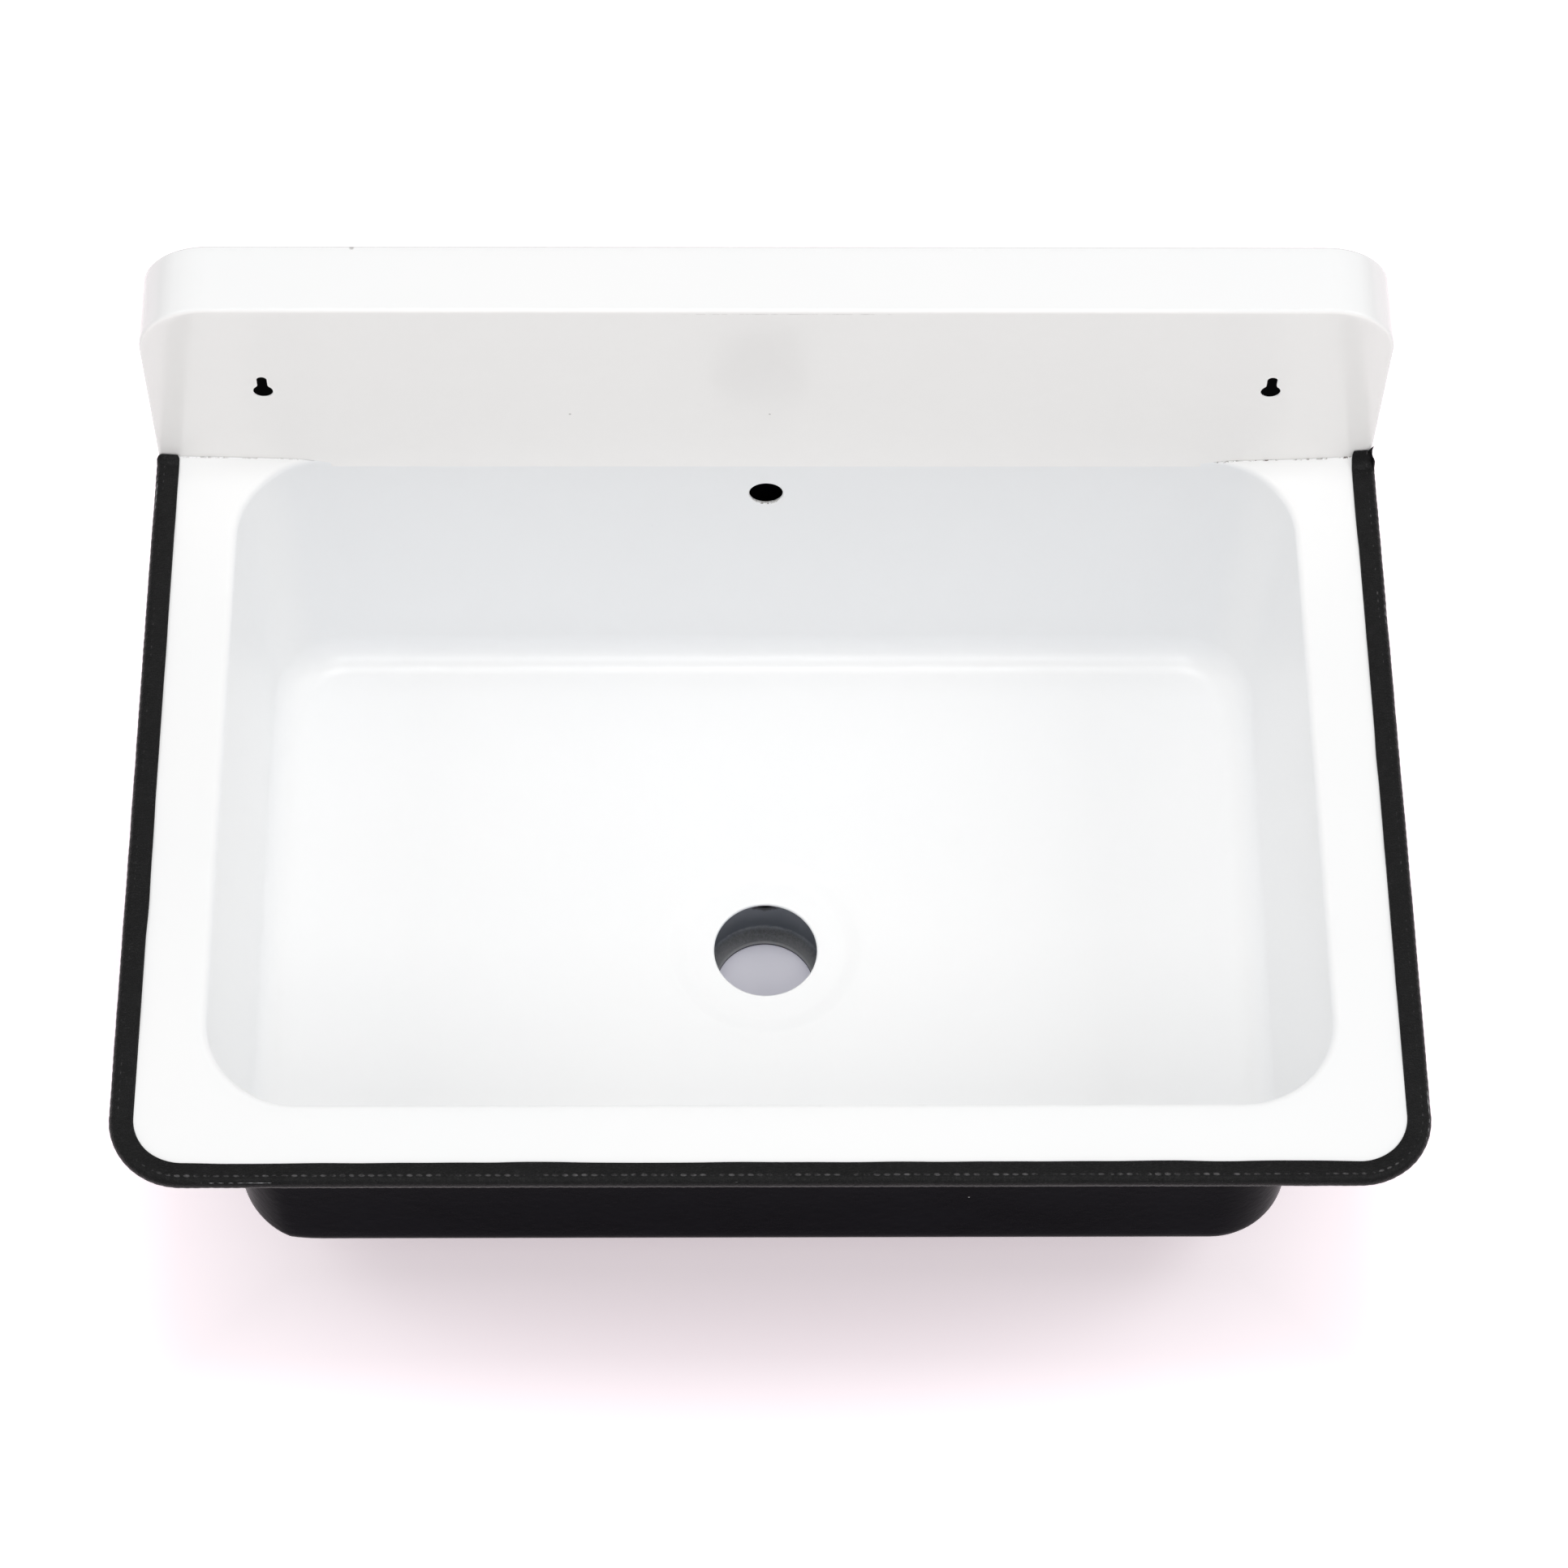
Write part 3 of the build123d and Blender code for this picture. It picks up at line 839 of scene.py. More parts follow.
splashSettings = {
    "cornerRadius": 28 * mm,
    "bendRadius": 1.6 * mm,
    "innerInset": 24 * mm,      # from the sides to the even grid that carries the keyholes
    "keyholeX": 210.5 * mm,
    "headRadius": 4.1 * mm,
    "slotHalf": 2.1 * mm,
    "slotRise": 8 * mm,
    "blockHalf": 12 * mm,       # half the side of the square of grid that a keyhole takes
    "blockCells": 12,
    "blockRise": 3 * mm,        # middle of that square above the middle of the round end
    "patchRings": 6,
    "holeSheet": 1.0 * mm,      # the sheet thins to this at the keyholes
    "holeDrop": 0.9 * mm,
    "bendSheet": 1.4 * mm,      # and to this round the bend
    "thinFrom": (11 * mm, 4 * mm),      # how far from the holes, and over how much it gets thinner
    "faceCells": (4, 60, 4),    # columns of cells left of, between and right of the keyhole squares
    "cellsBelow": 16,
    "cellsAbove": 6,
    "arcPoints": 17,
    "returnCells": 10,
    "frameRings": 5,
    "spread": (1.0 * mm, 0.4 * mm),     # how much further out the left and right side stand than in the solid
    "sag": 0.12 * mm,           # how far the pressed face strays from flat
    "sagCell": 170 * mm,
    "sagSeed": 5,
    "sagEdge": 12 * mm,         # it stays flat this near the sides and top, and strays fully after sagFade
    "sagFade": 30 * mm,
    "sagAboveRim": 20 * mm,
    "nearly": 0.1 * mm,         # a point this near the face, or the bend's end, counts as on it
}


def evenlyAlong(path, count):
    # a closed line cut into count equal steps
    path = np.vstack([path, path[:1]])
    distance = np.concatenate([[0], np.cumsum(np.linalg.norm(np.diff(path, axis=0), axis=1))])
    stops = np.linspace(0, distance[-1], count, endpoint=False)
    return np.stack([np.interp(stops, distance, path[:, k]) for k in range(path.shape[1])], -1)


def keyholeOutline(grow, count):
    # A circle and a round-ended slot above it, both grown, as one line: each direction from a point
    # inside both meets the outline of whichever reaches further. It starts at the upper left.
    s = SimpleNamespace(**splashSettings)
    head, half = s.headRadius + grow, s.slotHalf + grow
    inside = s.headRadius * 0.75
    turn = np.radians(135) + np.linspace(0, 2 * np.pi, 1440, endpoint=False)
    across, up = np.cos(turn), np.sin(turn)
    toHead = -inside * up + np.sqrt(head ** 2 - (inside * across) ** 2)
    above = s.slotRise - inside
    root = np.maximum(half ** 2 - (above * across) ** 2, 0)
    toEnd = np.where((up > 0) & (half > np.abs(above * across)), above * up + np.sqrt(root), 0)
    toSide = half / np.maximum(np.abs(across), 1e-9)
    toSide = np.where((up > 0) & (toSide * up < above), toSide, 0)
    reach = np.maximum(np.maximum(toHead, toEnd), toSide)
    return evenlyAlong(joined(reach * across, inside + reach * up), count)


def inSteps(stops, counts):
    # stops along a line, with the stretches between them cut into these counts of equal steps
    stretches = [
        np.linspace(a, b, count + 1)[:-1] for a, b, count in zip(stops[:-1], stops[1:], counts)
    ]
    return np.concatenate(stretches + [stops[-1:]])


def splashPiece():
    s = SimpleNamespace(**splashSettings)
    corner = s.cornerRadius
    centreX, centreZ = splashHigh.x - corner, splashHigh.z - corner
    joint, wallY, sheet = splashLow.z, splashHigh.y, rim.sheet
    half, cells = s.blockHalf, s.blockCells
    holeX, holeZ = s.keyholeX, s.blockRise
    acrossStops = [-centreX, -holeX - half, -holeX + half, holeX - half, holeX + half, centreX]
    leftCells, middleCells, rightCells = s.faceCells
    across = inSteps(acrossStops, (leftCells, cells, middleCells, cells, rightCells))
    up = inSteps([joint, holeZ - half, holeZ + half, centreZ], (s.cellsBelow, cells, s.cellsAbove))

    # stations up the left side, over the top and down the right side: a spot and a direction each
    arc = np.linspace(0, np.pi / 2, s.arcPoints)
    sideZ = up[:-1]
    spots = np.concatenate([
        joined(-centreX, sideZ),
        np.tile([-centreX, centreZ], (len(arc), 1)),
        joined(across[1:-1], centreZ),
        np.tile([centreX, centreZ], (len(arc), 1)),
        joined(centreX, sideZ[::-1]),
    ])
    angles = np.concatenate([
        np.full(len(sideZ), np.pi), np.pi - arc, np.full(len(across) - 2, np.pi / 2),
        np.pi / 2 - arc, np.zeros(len(sideZ)),
    ])
    aim = joined(np.cos(angles), np.sin(angles))

    # from the return's back edge forward, round the bend and in over the face
    bend = s.bendRadius
    turn = np.linspace(0, np.pi / 2, 9)
    back = s.returnCells
    inset = np.concatenate([np.zeros(back), bend * (1 - np.cos(turn)), [bend + 2 * mm, bend + 4 * mm]])
    depth = np.concatenate([
        np.linspace(wallY - sheet / 2, bend, back + 1)[:-1], bend * (1 - np.sin(turn)), [0, 0],
    ])
    rings = spots[None] + (corner - inset)[:, None, None] * aim[None]

    # the face's frame: from the last ring to a square-cornered line, whose corners take the arcs' halves
    gap = corner - s.innerInset
    square = spots + gap * aim
    fraction = np.linspace(0, 1, len(arc))
    leftArc = slice(len(sideZ), len(sideZ) + len(arc))
    rightArc = slice(len(spots) - len(sideZ) - len(arc), len(spots) - len(sideZ))
    rise, run = np.minimum(2 * fraction, 1) * gap, np.maximum(2 * fraction - 1, 0) * gap
    square[leftArc] = joined(-centreX - gap + run, centreZ + rise)
    square[rightArc] = square[leftArc][::-1] * [-1, 1]
    frameRings = between(rings[-1], square, s.frameRings)
    outer = np.concatenate([rings, frameRings])
    outerDepth = np.concatenate([depth, np.zeros(len(frameRings))])
    points = joined(outer[..., 0], outerDepth[:, None], outer[..., 1]).reshape(-1, 3)
    quads = gridQuads(len(outer), len(spots))[:, ::-1]

    # the even grid, with a block left out for each keyhole
    steps = len(arc) // 2
    corners = np.linspace(0, gap, steps + 1)[1:]
    columns = np.concatenate([-centreX - corners[::-1], across, centreX + corners])
    rows = np.concatenate([centreZ + corners[::-1], up[::-1]])
    gridX, gridZ = np.meshgrid(columns, rows)
    start = len(points)
    points = np.vstack([points, joined(gridX, 0 * gridX, gridZ).reshape(-1, 3)])
    rowNumber, columnNumber = np.divmod(np.arange((len(rows) - 1) * (len(columns) - 1)), len(columns) - 1)
    gridFaces = gridQuads(len(rows), len(columns), start=start)[:, ::-1]
    keep = np.ones(len(gridFaces), bool)
    patches = []
    for x in (-holeX, holeX):
        j0 = int(np.argmin(np.abs(columns - (x - half))))
        i0 = int(np.argmin(np.abs(rows - (holeZ + half))))
        inRows = (rowNumber >= i0) & (rowNumber < i0 + cells)
        inColumns = (columnNumber >= j0) & (columnNumber < j0 + cells)
        keep &= ~(inRows & inColumns)
        patches.append((x, blockRim(i0, i0 + cells, j0, j0 + cells, len(columns), start)))
    quads = np.vstack([quads, gridFaces[keep]])
    holeRims = []
    for x, numbers in patches:
        outline = keyholeOutline(s.holeSheet / 2, len(numbers))
        hole = np.stack([x + outline[:, 0], 0 * outline[:, 0], outline[:, 1] - s.holeDrop], -1)
        points, quads, holeRim = holePatch(points, quads, numbers, hole, s.patchRings)
        holeRims.append(holeRim)

    roundness = np.zeros(len(points))
    roundness[:len(spots)] = 1
    roundness[np.concatenate(holeRims)] = 1
    points, quads, roundness = weld(points, quads, roundness)
    middle = clamp((points[:, 2] - joint) / s.sagAboveRim) * (points[:, 1] < s.nearly)
    inward = clamp((splashHigh.x - s.sagEdge - np.abs(points[:, 0])) / s.sagFade)
    inward *= clamp((splashHigh.z - s.sagEdge - points[:, 2]) / s.sagFade)
    sag = uneven(points, s.sagSeed, s.sagCell, s.sag)
    points[:, 1] += np.maximum(sag + s.sag / 2, 0) * middle * inward
    toHole = np.hypot(np.abs(points[:, 0]) - holeX, np.maximum(np.abs(points[:, 2] - holeZ) - holeZ, 0))
    onFace = points[:, 1] < s.bendRadius / 2
    thinStart, thinReach = s.thinFrom
    thin = clamp((thinStart - toHole) / thinReach) * onFace
    thickness = sheet + (s.holeSheet - sheet) * thin
    atBend = (points[:, 1] > 0.3 * mm) & (points[:, 1] < s.bendRadius + s.nearly)
    thickness = np.where(atBend, s.bendSheet, thickness)
    leftSpread, rightSpread = s.spread
    aside = clamp((np.abs(points[:, 0]) - centreX) / corner)
    points[:, 0] += aside * np.where(points[:, 0] < 0, -leftSpread, rightSpread)
    points, quads, slots = thicken(points, quads, thickness, roundness)
    piece = makeMesh("splashback_panel", points, quads, [panelWhite, dark], slots)
    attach(piece, "root")
    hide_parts("splashback")


splashPiece()
print("splashback made")


# Drain chamber

chamberSettings = {
    "ledgeDepth": 29.8 * mm,
    "slopeDepth": 2.7 * mm,
    "outletRadius": 21.75 * mm,
    "sheet": 2 * mm,
    "inletRadius": 5.2 * mm,
    "inletDrop": 7.3 * mm,
    "inletCells": 10,
    "inletBlock": 6.4 * mm,     # half the height of the block of grid round the inlet
    "patchRings": 4,
    "ledgeBend": 1.2 * mm,
    "lipBend": 0.7 * mm,
    "bendPoints": 7,
    "edge": 0.5 * mm,
    "stations": 180,
}


def chamberPiece():
    # A line turned round the drain's axis: down the inside, over the ledge and the lip, and back up outside.
    c = SimpleNamespace(**chamberSettings)
    outerRadius = chamberHigh.x
    innerRadius = outerRadius - c.sheet
    centreY = (chamberLow.y + chamberHigh.y) / 2
    top, bottom = chamberHigh.z, chamberLow.z
    ledge = top - c.ledgeDepth
    lip = ledge - c.slopeDepth
    inlet = top - c.inletDrop
    step = 2 * np.pi / c.stations
    halfCells = c.inletCells // 2
    blockLevels = np.linspace(inlet + c.inletBlock, inlet - c.inletBlock, c.inletCells + 1)
    bendPoints, ledgeBend, lipBend = c.bendPoints, c.ledgeBend, c.lipBend
    turning = np.linspace(0, np.pi / 2, bendPoints)[1:]
    slope = math.atan2(lip - ledge, c.outletRadius - innerRadius) + np.pi
    ledgeTurn = np.linspace(0, -(np.pi / 2 - slope), bendPoints)
    ledgeInner = innerRadius - ledgeBend
    bend = joined(
        ledgeInner + ledgeBend * np.cos(ledgeTurn), ledge + ledgeBend + ledgeBend * np.sin(ledgeTurn),
    )
    lipTurn = np.linspace(np.pi / 2, np.pi, bendPoints)
    lipEdge = np.stack([
        c.outletRadius + lipBend + lipBend * np.cos(lipTurn), lip - lipBend + lipBend * np.sin(lipTurn),
    ], -1)
    slopeLine = bend[-1] + (lipEdge[0] - bend[-1]) * np.linspace(0, 1, 9)[1:-1, None]
    wallLevels = np.concatenate([blockLevels, np.linspace(blockLevels[-1], ledge + ledgeBend, 8)[1:-1]])
    inside = np.concatenate([
        [[innerRadius, top]],
        joined(innerRadius, wallLevels),
        bend, slopeLine, lipEdge,
    ])
    edge = c.edge
    outside = np.concatenate([
        [[c.outletRadius, bottom + edge], [c.outletRadius + edge, bottom]],
        [[outerRadius - 2 * edge, bottom]],
        joined(outerRadius - edge * 2 * (1 - np.sin(turning)), bottom + edge * 2 * (1 - np.cos(turning))),
        [[outerRadius, ledge]],
        joined(outerRadius, blockLevels[::-1]),
        [[outerRadius, top]],
    ])
    profile = np.concatenate([inside, outside])
    angles = np.pi + step * np.arange(c.stations)
    radius, level = profile[:, 0][:, None], profile[:, 1][:, None]
    points = joined(radius * np.sin(angles), centreY + radius * np.cos(angles), level).reshape(-1, 3)
    rowCount, stations = len(profile), c.stations
    quads = np.vstack([
        gridQuads(rowCount, stations, wrap=True),
        ringQuads((rowCount - 1) * stations + np.arange(stations), np.arange(stations)),
    ])

    # the inlet: a block is left out of the inner and of the outer wall, and a sleeve joins the two holes
    j0 = stations // 2 - halfCells
    j1 = j0 + 2 * halfCells
    outerRow = len(inside) + len(outside) - 1 - len(blockLevels)
    inColumns = (quads % stations >= j0).all(axis=1) & (quads % stations <= j1).all(axis=1)
    rowsOf = quads // stations
    inInner = (rowsOf >= 1).all(axis=1) & (rowsOf <= c.inletCells + 1).all(axis=1)
    inOuter = (rowsOf >= outerRow).all(axis=1) & (rowsOf <= outerRow + c.inletCells).all(axis=1)
    quads = quads[~(inColumns & (inInner | inOuter))]
    innerRim = blockRim(1, 1 + c.inletCells, j0, j1, stations)
    outerRim = blockRim(outerRow, outerRow + c.inletCells, j0, j1, stations)
    outerRim = np.roll(outerRim[::-1], -3 * len(outerRim) // 4 - 1)
    loops = []
    for numbers, wall in ((innerRim, innerRadius), (outerRim, outerRadius)):
        seen = unit(points[numbers][:, [0, 2]] - [0, inlet]) * c.inletRadius
        hole = np.stack([
            seen[:, 0], centreY + np.sqrt(wall ** 2 - seen[:, 0] ** 2), inlet + seen[:, 1],
        ], -1)
        before = len(points)
        points, quads, holeRim = holePatch(points, quads, numbers, hole, c.patchRings)
        patch = points[before:]
        patch[:, 1] = centreY + np.sqrt(wall ** 2 - patch[:, 0] ** 2)
        loops.append(holeRim)
    quads = np.vstack([quads, ringQuads(loops[0], loops[1])])
    points, quads, _ = dropUnused(points, quads)
    piece = makeMesh("drain_cup", points, quads, [chamberCoat], sharpAngle=35)
    faceOutwards(piece)
    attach(piece, "root")
    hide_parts("drain_chamber")


chamberPiece()
print("drain chamber made")


# Edge trim

trimSettings = {
    "grip": 8 * mm,
    "skin": 2 * mm,
    "noseRadius": 3 * mm,
    "lipHalf": 2.2 * mm,
    "mouthHalf": 1.0 * mm,
    "lipCorner": 0.6 * mm,
    "endGap": 0.5 * mm,
    "rings": 1490,
    "topShares": (0.4, 0.74, 0.86, 1.0),     # points across the top, closer together at the line of painted glints
    "corePitch": 3.8 * mm,      # notch to notch of the steel core inside, which shows through the skin
    "coreShow": 0.07 * mm,
    "bendPlace": -1.9 * mm,     # where the painted glints lie on the ribs, from the nose, and how far to each side
    "bendWide": 0.8 * mm,
    "frontFrom": -331 * mm,     # the painted glints are stronger on the front run than on the sides
    "frontRubbed": 1.3,
    "sideRubbed": 0.74,
    "ribDrift": (30 * mm, 0.9 * mm, 3),     # waves along the trim: how long, how strong, and their seed
    "ribUneven": (9 * mm, 1.0, 4),
    "slack": (16 * mm, 0.12 * mm, 6),
    "noseSlack": (5 * mm, 0.12 * mm * 0.35, 8),
    "lipWave": (24 * mm, 0.22 * mm, 9),
    "lipRipple": (9 * mm, 0.22 * mm * 0.4, 10),
    "slimmer": 0.2 * mm,        # the skin is drawn in by this, so that no wave stands out past the solid
    "leftLift": (2.4 * mm, 4 * mm),     # how far the cut ends are pressed up, and from where
    "rightLift": (5.9 * mm, 6 * mm),
    "notch": (3.4 * mm, 7 * mm),        # the right end's outer side is torn back: how far, from where
    "drawn": (0.1, 0.8 * mm),           # the last of the skin is narrower: by what share, over what length
    "nibSpots": (                       # two ends of its base, and its tip, in mm
        (255.6, -1.0, -45.4),
        (258.5, -1.0, -44.2),
        (258.6, -0.7, -39.2),
    ),
    "nibThickness": 1.2 * mm,
    "nibRings": 9,
    "nibStations": 12,
}


def trimLine(count):
    # points along the rim's edge from its left end to its right end, and the outward direction at each
    half, corner = rim.halfWidth, rim.cornerRadius
    back, front = -trimSettings["endGap"], rim.front
    side = back - (front + corner)
    arc = corner * np.pi / 2
    across = 2 * (half - corner)
    stops = np.cumsum([0, side, arc, across, arc, side])
    s = np.linspace(0, stops[-1], count)
    part = np.clip(np.searchsorted(stops, s, side="right") - 1, 0, 4)
    along = s - stops[part]
    turned = along / corner
    angle = np.choose(part, [np.pi, np.pi + turned, 1.5 * np.pi, 1.5 * np.pi + turned, 2 * np.pi])
    outward = joined(np.cos(angle), np.sin(angle))
    centreX, centreY = half - corner, front + corner
    spotX = np.choose(part, [-centreX, -centreX, -centreX + along, centreX, centreX])
    spotY = np.choose(part, [back - along, centreY, centreY, centreY, centreY + along])
    return s, joined(spotX, spotY) + corner * outward, outward


def trimSection():
    # Half the points run over the outside, from the upper lip round the nose to the lower lip, and half
    # over the inside, from the upper mouth round the rim's edge to the lower one. x is outwards, z up.
    t = SimpleNamespace(**trimSettings)
    nose, grip = t.noseRadius, t.grip
    noseX = t.skin - nose
    arc = np.linspace(np.pi / 2, 0, 9)[1:]
    roundNose = joined(noseX + nose * np.cos(arc), nose * np.sin(arc))
    upper = roundedPath(
        [[-grip, t.mouthHalf + 0.1 * mm], [-grip, t.lipHalf], [noseX, nose]], [t.lipCorner], 3,
    )
    upper = np.vstack([upper[:-1], upper[-2] + (upper[-1] - upper[-2]) * np.array(t.topShares)[:, None]])
    outside = np.vstack([upper, roundNose])
    outside = np.vstack([outside, outside[-2::-1] * [1, -1]])
    count = len(outside)
    halfCount = (count - 1) // 2
    legs = np.linspace(-grip + 0.15 * mm, 0.02 * mm, halfCount - 2)
    upperInside = joined(legs, t.mouthHalf + 0.02 * mm)
    edge = np.array([[0.02 * mm, z * t.mouthHalf] for z in (0.66, 0.33, 0.0, -0.33, -0.66)])
    inside = np.vstack([upperInside, edge, upperInside[::-1] * [1, -1]])
    return outside, inside


def nibSliver(t):
    # the torn point at the right end: rings from a flat base to a tip, each an ellipse, bent as it rises
    first, second, tip = (np.array(spot) * mm for spot in t.nibSpots)
    ringCount, stations = t.nibRings, t.nibStations
    share = np.linspace(0, 0.98, ringCount)[:, None, None]
    turn = np.linspace(0, 2 * np.pi, stations, endpoint=False)[None, :, None]
    centre = (first + second) / 2 * (1 - share) + tip * share
    centre = centre + np.array([-0.35 * mm, 0, 0]) * np.sin(share * np.pi)
    across, thick = (second - first) / 2, np.array([0, t.nibThickness / 2, 0])
    rings = centre + (np.cos(turn) * across + np.sin(turn) * thick) * (1 - share) ** 0.8
    points = rings.reshape(-1, 3)
    quads = gridQuads(ringCount, stations, wrap=True)
    over = np.arange(stations // 2 - 1)
    base = joined(over, over + 1, stations - 2 - over, stations - 1 - over)
    return points, np.vstack([quads, base, base + (ringCount - 1) * stations])


def trimPiece():
    t = SimpleNamespace(**trimSettings)
    s, line, outward = trimLine(t.rings)
    outside, inside = trimSection()
    count = len(outside)
    section = np.vstack([outside, inside[::-1]])

    def waves(cell, strength, seed):
        # smooth uneven heights along the trim
        knots = np.random.default_rng(seed).normal(size=int(s[-1] / cell) + 6)
        place = s / cell
        first = place.astype(int)
        f = place - first
        a, b, c, d = (knots[first + k] for k in range(4))
        smooth = ((1 - f) ** 3 * a + (3 * f ** 3 - 6 * f ** 2 + 4) * b
                  + (-3 * f ** 3 + 3 * f ** 2 + 3 * f + 1) * c + f ** 3 * d) / 6
        return smooth * strength

    # direction square to the section's outline at each of its outer points
    tangent = np.gradient(outside, axis=0)
    square = unit(joined(-tangent[:, 1], tangent[:, 0]))
    ribs = 2 * np.abs(np.cos(np.pi * (s + waves(*t.ribDrift)) / t.corePitch)) - 1
    ribs = ribs * (0.75 + 0.25 * waves(*t.ribUneven))
    onNose = clamp((outside[:, 0] + 3.4 * mm) / (3 * mm))
    onTop = clamp(outside[:, 1] / (2 * mm))
    lift = t.coreShow * ribs[:, None] * onNose[None]
    lift = lift + waves(*t.slack)[:, None] * onTop[None]
    lift = lift + waves(*t.noseSlack)[:, None] * onNose[None]
    lift = np.minimum(lift, t.slimmer) - t.slimmer
    skin = outside[None] + lift[..., None] * square[None]

    # the edge of the lips, on the rim and under it, wanders in and out a little
    atLip = clamp((-outside[:, 0] - 5 * mm) / (3 * mm))
    wander = waves(*t.lipWave) + waves(*t.lipRipple)
    skin[..., 0] += wander[:, None] * atLip[None]
    whole = np.concatenate([skin, np.broadcast_to(inside[::-1], (len(s),) + inside.shape)], 1)

    # cut ends: the last of the skin is drawn in, and pressed up where it meets the splashback
    fromEnd = np.minimum(s, s[-1] - s)
    drawnBy, drawnFrom = t.drawn
    drawn = 1 - drawnBy * clamp(1 - fromEnd / drawnFrom) ** 2
    centre = np.array([-3 * mm, 0])
    whole[:, :count] = centre + (whole[:, :count] - centre) * drawn[:, None, None]
    upperHalf = clamp(section[:, 1] / (1.2 * mm)) * (np.arange(len(section)) < count)
    for distance, (height, width) in ((s, t.leftLift), (s[-1] - s, t.rightLift)):
        press = clamp(1 - distance / width) ** 2
        whole[..., 1] += height * press[:, None] * upperHalf[None]
    place = line[:, None, :] + whole[..., :1] * outward[:, None, :]
    tornBy, tornFrom = t.notch
    torn = tornBy * clamp(1 - (s[-1] - s) / tornFrom)
    place[..., 1] -= torn[:, None] * clamp((section[:, 0] - 0.2 * mm) / (0.9 * mm))[None]
    level = rim.top - rim.sheet / 2 + whole[..., 1]
    points = np.concatenate([place, level[..., None]], -1).reshape(-1, 3)
    around = len(section)
    quads = gridQuads(len(s), around, wrap=True)
    caps = []
    for row in (0, len(s) - 1):
        over = row * around + np.arange(count)
        under = row * around + (around - 1 - np.arange(count))
        caps.append(joined(over[:-1], over[1:], under[1:], under[:-1]))
    nibPoints, nibQuads = nibSliver(t)
    quads = np.vstack([quads, *caps, nibQuads + len(points)])
    points = np.vstack([points, nibPoints])

    # how strongly each point's painted glint shows: -1 for none
    glintOf = np.full((len(s), around), -1.0)
    onGlintLine = np.exp(-((outside[:, 0] - t.bendPlace) / t.bendWide) ** 2)
    atFront = clamp((t.frontFrom - line[:, 1]) / (8 * mm))
    glintStrength = t.sideRubbed + (t.frontRubbed - t.sideRubbed) * atFront
    glintOf[:, :count] = (ribs * glintStrength + glintStrength)[:, None] * onGlintLine[None] - 1
    glintOf = np.concatenate([glintOf.ravel(), np.full(len(nibPoints), -1.0)])
    points, quads, glintOf = weld(points, quads, glintOf)
    piece = makeMesh("rim_trim", points, quads, [vinyl], sharpAngle=50)
    piece.data.attributes.new("rib", "FLOAT", "POINT").data.foreach_set("value", glintOf.astype(np.float32))
    faceOutwards(piece)
    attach(piece, "root")
    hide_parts("edge_trim")


trimPiece()
print("trim made")


# Pieces that keep their CAD shape

for nodeName, coat in (("overflow_duct", dark), ("trim_core", steel)):
    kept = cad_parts[nodeName]
    if not kept.material_slots:
        kept.data.materials.append(coat)
    for materialSlot in kept.material_slots:
        materialSlot.material = coat


# Floor, light and camera

stageSettings = {
    "floorSize": 9.0,
    "floorColour": (1.0, 0.985, 0.99, 1),
    "floorGlow": (0.345, 0.28, 0.31, 1),    # what the camera still sees of the floor in full shadow
    "glowGap": (60 * mm, 110 * mm),         # round the drain's axis the glow fades out, so its way stays dim
    "drainGlow": (0.062, 0.062, 0.108, 1),  # what is left of it there
    "shadowHalf": (205 * mm, 138 * mm),     # from the drain's axis to where the shadow starts to give way
    "shadowEdge": 70 * mm,
    "edgeGlow": 0.45,
    "skyLight": (0.56, 0.561, 0.562, 1),    # the light that the surroundings give
    "lampAim": (0, -0.15, -0.1),
    "lamps": {                              # place, side of the square, power
        "overhead": ((0.0, -0.1, 2.2), 0.7, 10.6),
        "front": ((0.0, -1.8, 1.9), 0.8, 9.8),
        "left": ((-1.6, -0.1, 1.6), 1.0, 4.3),
        "right": ((1.6, -0.1, 1.6), 1.0, 6.9),
    },
    # painted shade: a black patch on the floor behind the splashback, where it is seen through the keyholes
    "darkPlace": (242.3 * mm, 168.5 * mm),  # where the floor is seen through the keyholes, black in the photo
    "darkReach": (17 * mm, 25 * mm),        # fully dark up to the first, and not dark from the second on
    "darkColour": (0.003, 0.003, 0.003, 1),
    "backdropColour": (1, 1, 1, 1),
}


def seenDirectly(node):
    # 1 for what the camera sees itself, or in a reflection or through glass
    path = node("ShaderNodeLightPath").outputs
    either = math2(node, "MAXIMUM", path["Is Camera Ray"], path["Is Glossy Ray"])
    return math2(node, "MAXIMUM", either, path["Is Transmission Ray"])


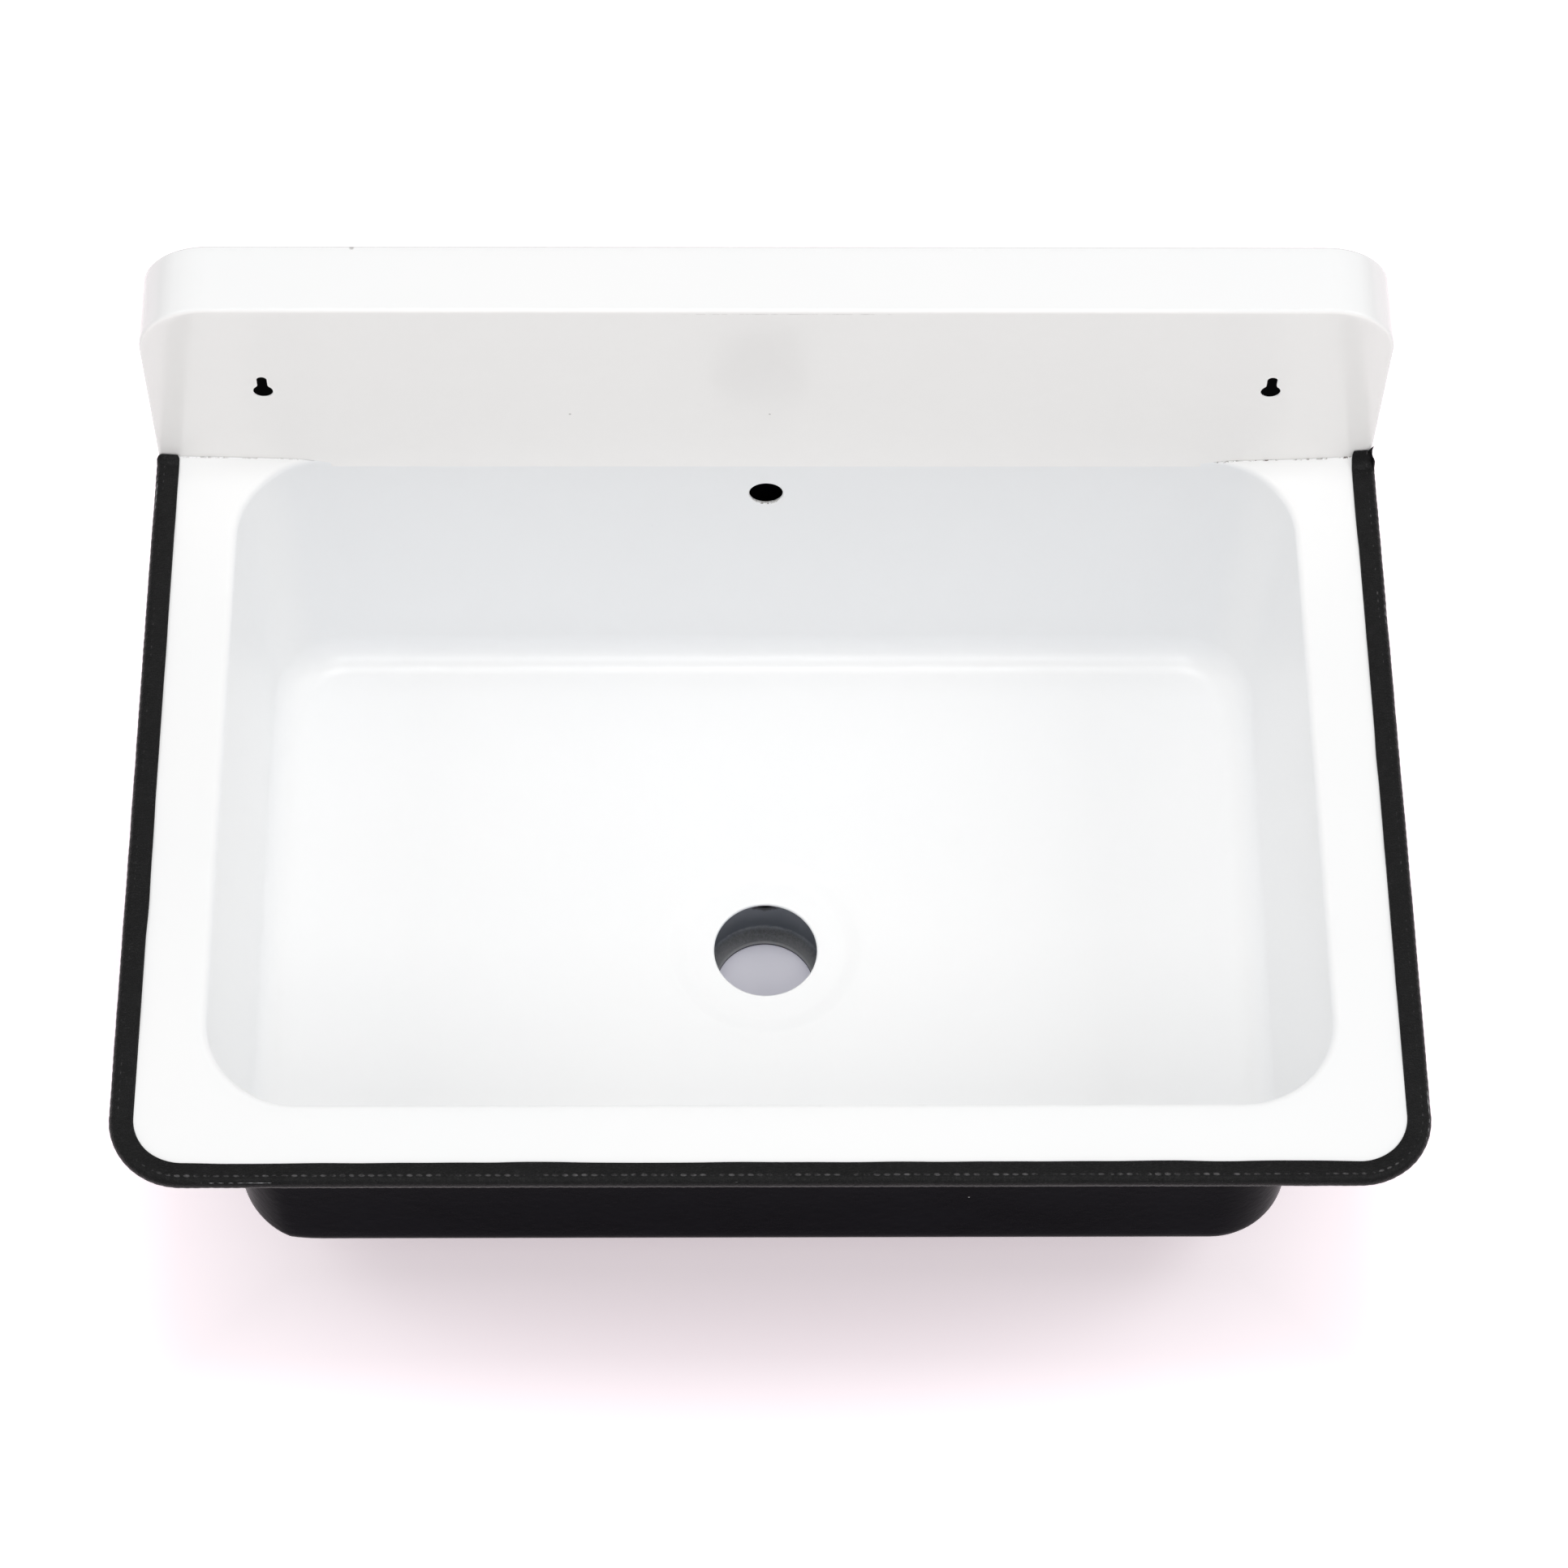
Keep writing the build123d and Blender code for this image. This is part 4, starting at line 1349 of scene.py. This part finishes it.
def floorPiece():
    s = SimpleNamespace(**stageSettings)
    corners = np.array([[-1, -1], [1, -1], [1, 1], [-1, 1]]) * s.floorSize / 2
    points = np.column_stack([corners, np.full(4, chamberLow.z)])
    material, place, node = nodeKit("pale_floor")
    tree = material.node_tree
    drain = (0, (chamberLow.y + chamberHigh.y) / 2, chamberLow.z)
    xyz = axesOf(node, place)
    fromMiddle = math2(node, "ABSOLUTE", xyz[0])
    folded = node("ShaderNodeCombineXYZ", X=fromMiddle, Y=xyz[1]).outputs[0]
    # painted shade: black floor, with no glow, round the spots seen through the keyholes
    outsideShadePatch = bandOf(node, distanceTo(node, folded, (*s.darkPlace, 0)), *s.darkReach)
    diffuse = node("ShaderNodeBsdfDiffuse", Color=mixColour(node, outsideShadePatch, s.darkColour, s.floorColour))
    aside = math2(node, "SUBTRACT", fromMiddle, s.shadowHalf[0])
    before = math2(node, "SUBTRACT", drain[1] - s.shadowHalf[1], xyz[1])
    past = bandOf(node, math2(node, "MAXIMUM", aside, before), 0.0, s.shadowEdge)
    fromDrain = bandOf(node, distanceTo(node, place, drain), *s.glowGap)
    glowColour = mixColour(node, fromDrain, s.drainGlow, s.floorGlow)
    strength = times(node, scaled(node, past, s.edgeGlow, 1.0), seenDirectly(node), outsideShadePatch)
    glow = node("ShaderNodeEmission", Color=glowColour, Strength=strength)
    both = node("ShaderNodeAddShader", n0=diffuse.outputs[0], n1=glow.outputs[0])
    fill(tree.nodes["Material Output"].inputs["Surface"], both.outputs[0])
    tree.nodes.remove(tree.nodes["Principled BSDF"])
    floor = makeMesh("floor", points, np.array([[0, 1, 2, 3]]), [material])


def lightScene():
    s = SimpleNamespace(**stageSettings)
    world = bpy.data.worlds.new("pale_room")
    bpy.context.scene.world = world
    world.use_nodes = True
    tree = world.node_tree
    node = nodeMaker(tree)
    sky = tree.nodes["Background"]
    sky.inputs["Color"].default_value = s.skyLight
    backdrop = node("ShaderNodeBackground", Color=s.backdropColour)
    path = node("ShaderNodeLightPath").outputs
    direct = math2(node, "MAXIMUM", path["Is Camera Ray"], path["Is Transmission Ray"])
    either = node("ShaderNodeMixShader", n0=direct, n1=sky.outputs[0], n2=backdrop.outputs[0])
    fill(tree.nodes["World Output"].inputs["Surface"], either.outputs[0])

    for name, (spot, size, power) in s.lamps.items():
        lamp = bpy.data.lights.new(name, "AREA")
        lamp.size = size
        lamp.energy = power
        lampObject = bpy.data.objects.new(name, lamp)
        lampObject.location = spot
        ahead = Vector(s.lampAim) - Vector(spot)
        lampObject.rotation_euler = ahead.to_track_quat("-Z", "Y").to_euler()
        bpy.context.scene.collection.objects.link(lampObject)


cameraSettings = {
    "place": (-0.02215, -1.1066, 1.5715),
    "pitch": 1.0426,     # radians below level
    "yaw": 0.0299,
    "roll": 0.0252,
    "lens": 105.28,
    "sensor": 36.0,
}


def placeCamera():
    c = SimpleNamespace(**cameraSettings)
    ahead = Vector((
        math.sin(c.yaw) * math.cos(c.pitch),
        math.cos(c.yaw) * math.cos(c.pitch),
        -math.sin(c.pitch),
    ))
    level = Vector((math.cos(c.yaw), -math.sin(c.yaw), 0))
    above = level.cross(ahead)
    right = math.cos(c.roll) * level + math.sin(c.roll) * above
    up = math.cos(c.roll) * above - math.sin(c.roll) * level
    lens = bpy.data.cameras.new("camera")
    lens.lens = c.lens
    lens.sensor_width = c.sensor
    lens.clip_end = 30
    camera = bpy.data.objects.new("camera", lens)
    matrix = Matrix((right, up, -ahead)).transposed().to_4x4()
    matrix.translation = Vector(c.place)
    camera.matrix_world = matrix
    bpy.context.scene.collection.objects.link(camera)
    bpy.context.scene.camera = camera


floorPiece()
lightScene()
placeCamera()
bpy.context.scene.view_settings.view_transform = "Standard"
print("stage set")
